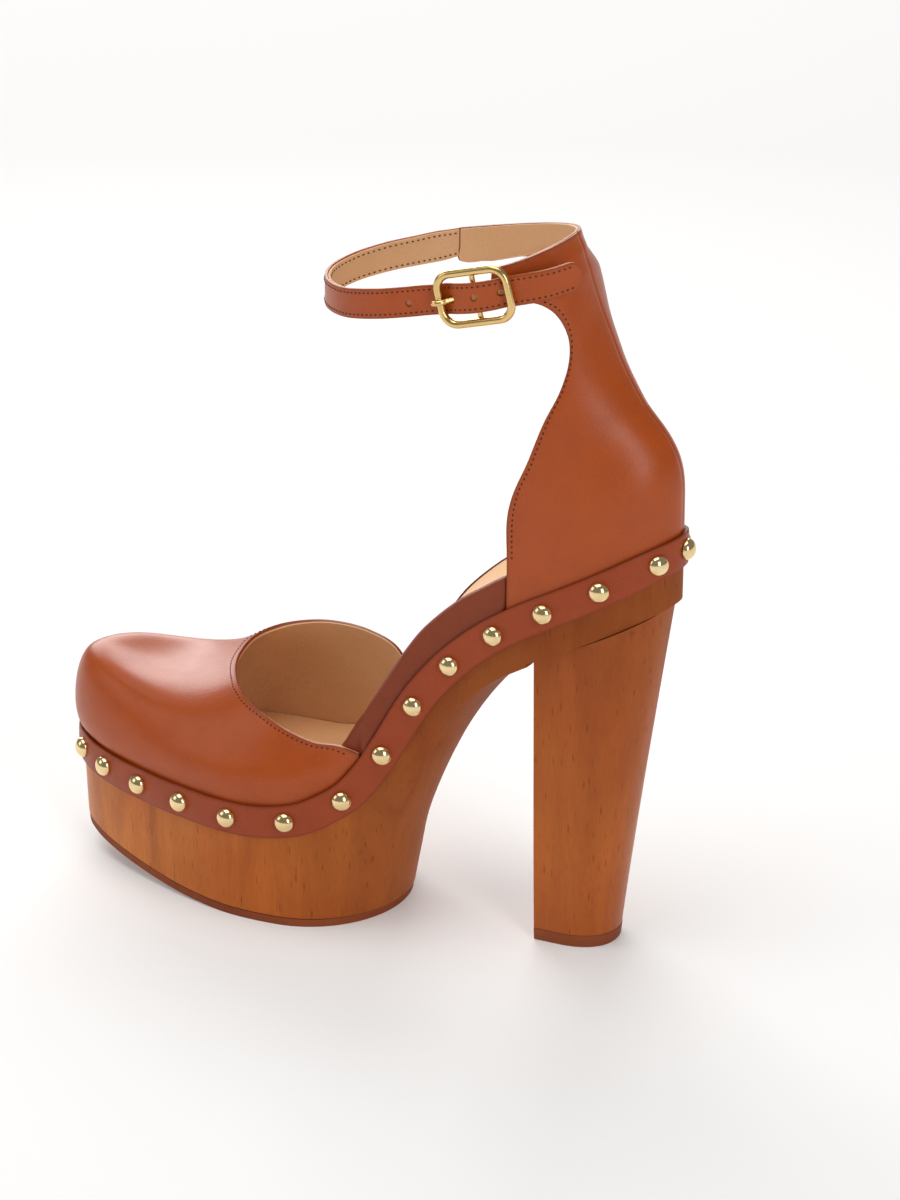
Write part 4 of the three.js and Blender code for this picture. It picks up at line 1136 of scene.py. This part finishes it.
def strap():
    holes = (*STRAP_HOLES, PRONG_HOLE)
    edge = [strap_place(i / 400, v) * MM for i in range(401) for v in (0.0, 1.0)]
    skin = carved(
        strap_layer(STRAP_THICK / 2, -0.1, 0.0, 0.35),
        [("DIFFERENCE", punch(y, HOLE)) for y in holes],
    )
    piece("strap_calf", skin, COGNAC, ["ankle_strap"], sharp=50, rim=edge)
    under = strap_layer(-0.12, -STRAP_THICK / 2, 0.25, 0.25)
    piece("strap_lining", under, TAN, sharp=50, rim=edge)


def round_bar(points, radius, steps, sides=20, flat=1.0):
    """A round bar along points, with rounded ends."""
    path = Path(points)
    rings = []
    shaft = (lerp(0.05, 0.95, i / steps) for i in range(steps + 1))
    shares = [0.0, 0.01, 0.03, *shaft, 0.97, 0.99, 1.0]
    for share in shares:
        end = min(share, 1 - share) * path.length / radius
        size = radius * (math.sqrt(max(1 - (1 - end) ** 2, 0.02)) if end < 1 else 1.0)
        along = path.direction(share)
        first = along.cross(Vector((0, 0, 1)))
        if first.length < 0.1:
            first = Vector((1, 0, 0))
        first.normalize()
        second = along.cross(first).normalized()
        middle = path.at(share)
        rings.append([
            middle + first * size * math.cos(2 * math.pi * k / sides)
            + second * size * flat * math.sin(2 * math.pi * k / sides)
            for k in range(sides)
        ])
    return loft(rings)


def buckle():
    y = BUCKLE_LENGTH / 2 - WIRE - BUCKLE_CORNER
    z = BUCKLE_HEIGHT / 2 - WIRE - BUCKLE_CORNER
    line = []
    for cy, cz, start in ((y, z, 0), (-y, z, 1), (-y, -z, 2), (y, -z, 3)):
        for i in range(13):
            turn = (start + i / 12) * math.pi / 2
            line.append((Vector((0, cy, cz)), Vector((0, math.cos(turn), math.sin(turn)))))
    count = len(line)

    def place(u, v):
        middle, way = line[round(v * count) % count]
        turn = 2 * math.pi * u
        reach = BUCKLE_CORNER + WIRE * math.cos(turn)
        return BUCKLE @ (middle + way * reach + Vector((WIRE * math.sin(turn), 0, 0)))

    loop = surface(20, count, place)
    bmesh.ops.recalc_face_normals(loop, faces=loop.faces)
    piece("buckle_loop", loop, BUCKLE_BRASS, ["buckle_frame"])
    reach = BUCKLE_HEIGHT / 2 - WIRE
    bar = round_bar(
        [BUCKLE @ Vector((-BAR_DROP, 0, -reach)), BUCKLE @ Vector((-BAR_DROP, 0, 0)),
         BUCKLE @ Vector((-BAR_DROP, 0, reach))],
        WIRE * 0.65, 12,
    )
    piece("buckle_bar", bar, BUCKLE_BRASS)
    pin = round_bar([BUCKLE @ Vector(p) for p in PRONG_LINE], PRONG, 48)
    piece("buckle_pin", pin, BUCKLE_BRASS, ["buckle_prong"])


# Stitching


def beside(place, u, edge, inset):
    """Place on a surface at a distance in from its edge at v = 0 or 1."""
    start = place(u, edge)
    step = 0.002 if edge == 0 else -0.002
    v = edge + step
    while (place(u, v) - start).length < inset and 0.3 > abs(v - edge):
        v += step
    return place(u, v)


def knot():
    """One stitch, as a mesh to be copied."""
    mesh = bmesh.new()
    bmesh.ops.create_uvsphere(mesh, u_segments=6, v_segments=5, radius=1.0)
    data = bpy.data.meshes.new("stitch")
    mesh.to_mesh(data)
    mesh.free()
    return data


def sew(mesh, stitch, points, middle, lift=0.05):
    """A row of stitches through points on the leather, raised away from a middle line."""
    path = Path(points)
    count = int(path.length / STITCH_PITCH)
    shape = Matrix.Diagonal((STITCH_LENGTH / 2, THREAD, THREAD, 1.0))
    for k in range(count):
        share = (k + 0.5) / count
        p = path.at(share)
        along = path.direction(share)
        out = p - Vector(middle(p))
        out = (out - along * out.dot(along)).normalized()
        turn = Matrix((along, out.cross(along), out)).transposed().to_4x4()
        place = Matrix.Scale(MM, 4) @ Matrix.Translation(p + out * lift) @ turn @ shape
        before = len(mesh.verts)
        mesh.from_mesh(stitch)
        mesh.verts.ensure_lookup_table()
        for vert in mesh.verts[before:]:
            vert.co = place @ vert.co


def stitching():
    mesh = bmesh.new()
    stitch = knot()
    throat = [beside(vamp_place, i / 60, 1, STITCH_INSET) for i in range(2, 59)]
    sew(mesh, stitch, throat, lambda p: (0, p.y * 0.5, 50))

    def up_the_counter(v, u):
        return counter_place(u, v)

    for edge in (0, 1):
        front = [beside(up_the_counter, v / 60, edge, STITCH_INSET) for v in range(8, 46)]
        sew(mesh, stitch, front, lambda p: (0, 118, p.z))
    for v in (0.14, 0.86):
        row = [strap_place(i / 90, v) for i in range(2, 89)]
        sew(mesh, stitch, row, lambda p: (0, 62, p.z))
        row = [strap_place(i / 90, v, -STRAP_THICK / 2) for i in range(60)]
        sew(mesh, stitch, row, lambda p: (2 * p.x, 2 * p.y - 62, p.z))
    piece("stitching", mesh, DARK_THREAD)


# Room, light and camera


def room():
    mesh = bmesh.new()
    bmesh.ops.create_grid(mesh, x_segments=1, y_segments=1, size=40.0)
    floor = shaped("floor", mesh)
    f = Finish("pale_floor", Roughness=0.9, Specular_IOR_Level=0.1)
    away = f.node("ShaderNodeVectorMath", {"operation": "LENGTH"}, {0: f.place}, output=1)
    far = ((away - 0.2) / 0.7).clamp()
    f.set("Base Color", f.mix(far, (0.8, 0.796, 0.789), (0.1, 0.0995, 0.0985)))
    f.set("Emission Color", f.mix(far, (0.19, 0.188, 0.185), (0.79, 0.783, 0.77)))
    f.shader.inputs["Emission Strength"].default_value = 1.0
    floor.data.materials.append(f.material)

    world = bpy.data.worlds.new("studio")
    bpy.context.scene.world = world
    world.use_nodes = True
    sky = world.node_tree.nodes["Background"]
    sky.inputs["Color"].default_value = (1.0, 0.995, 0.985, 1.0)
    sky.inputs["Strength"].default_value = 0.24


def lamp(name, place, target, width, height, power):
    data = bpy.data.lights.new(name, "AREA")
    data.shape = "RECTANGLE"
    data.size, data.size_y = width, height
    data.energy = power
    made = bpy.data.objects.new(name, data)
    made.location = place
    made.rotation_euler = (Vector(target) - Vector(place)).to_track_quat("-Z", "Y").to_euler()
    bpy.context.scene.collection.objects.link(made)


def studio():
    middle = (0.0, 0.03, 0.1)
    lamp("overhead", (0.2, -0.2, 1.9), middle, 1.4, 1.4, 16)
    lamp("back_box", (-1.5, -0.9, 0.95), middle, 1.7, 1.0, 30)
    lamp("left_box", (1.0, -1.7, 1.1), middle, 1.1, 1.1, 5)
    lamp("right_box", (1.3, 1.6, 0.9), middle, 0.6, 1.2, 12)

    camera = bpy.data.cameras.new("camera")
    camera.sensor_fit = "VERTICAL"
    camera.sensor_height = 36.0
    camera.lens = 134.4
    camera.clip_start, camera.clip_end = 0.05, 40.0
    eye = bpy.data.objects.new("camera", camera)
    eye.location = (1.2801, 0.5915, 0.6852)
    look = Vector((-0.0319, 0.0481, 0.0998)) - eye.location
    eye.rotation_euler = look.to_track_quat("-Z", "Y").to_euler()
    bpy.context.scene.collection.objects.link(eye)
    bpy.context.scene.camera = eye
    bpy.context.scene.view_settings.view_transform = "Standard"


platform()
heel()
top_lift()
forepart_sole()
footbed()
arch_edge("outer_arch_edge", arc_at(WING_Y - 14, 1), arc_at(COUNTER_FRONT_Y + 2, 1))
arch_edge("inner_arch_edge", arc_at(COUNTER_FRONT_Y + 2, -1), arc_at(WING_Y - 14, -1))
vamp()
counter()
band()
nails()
strap()
buckle()
stitching()
room()
studio()
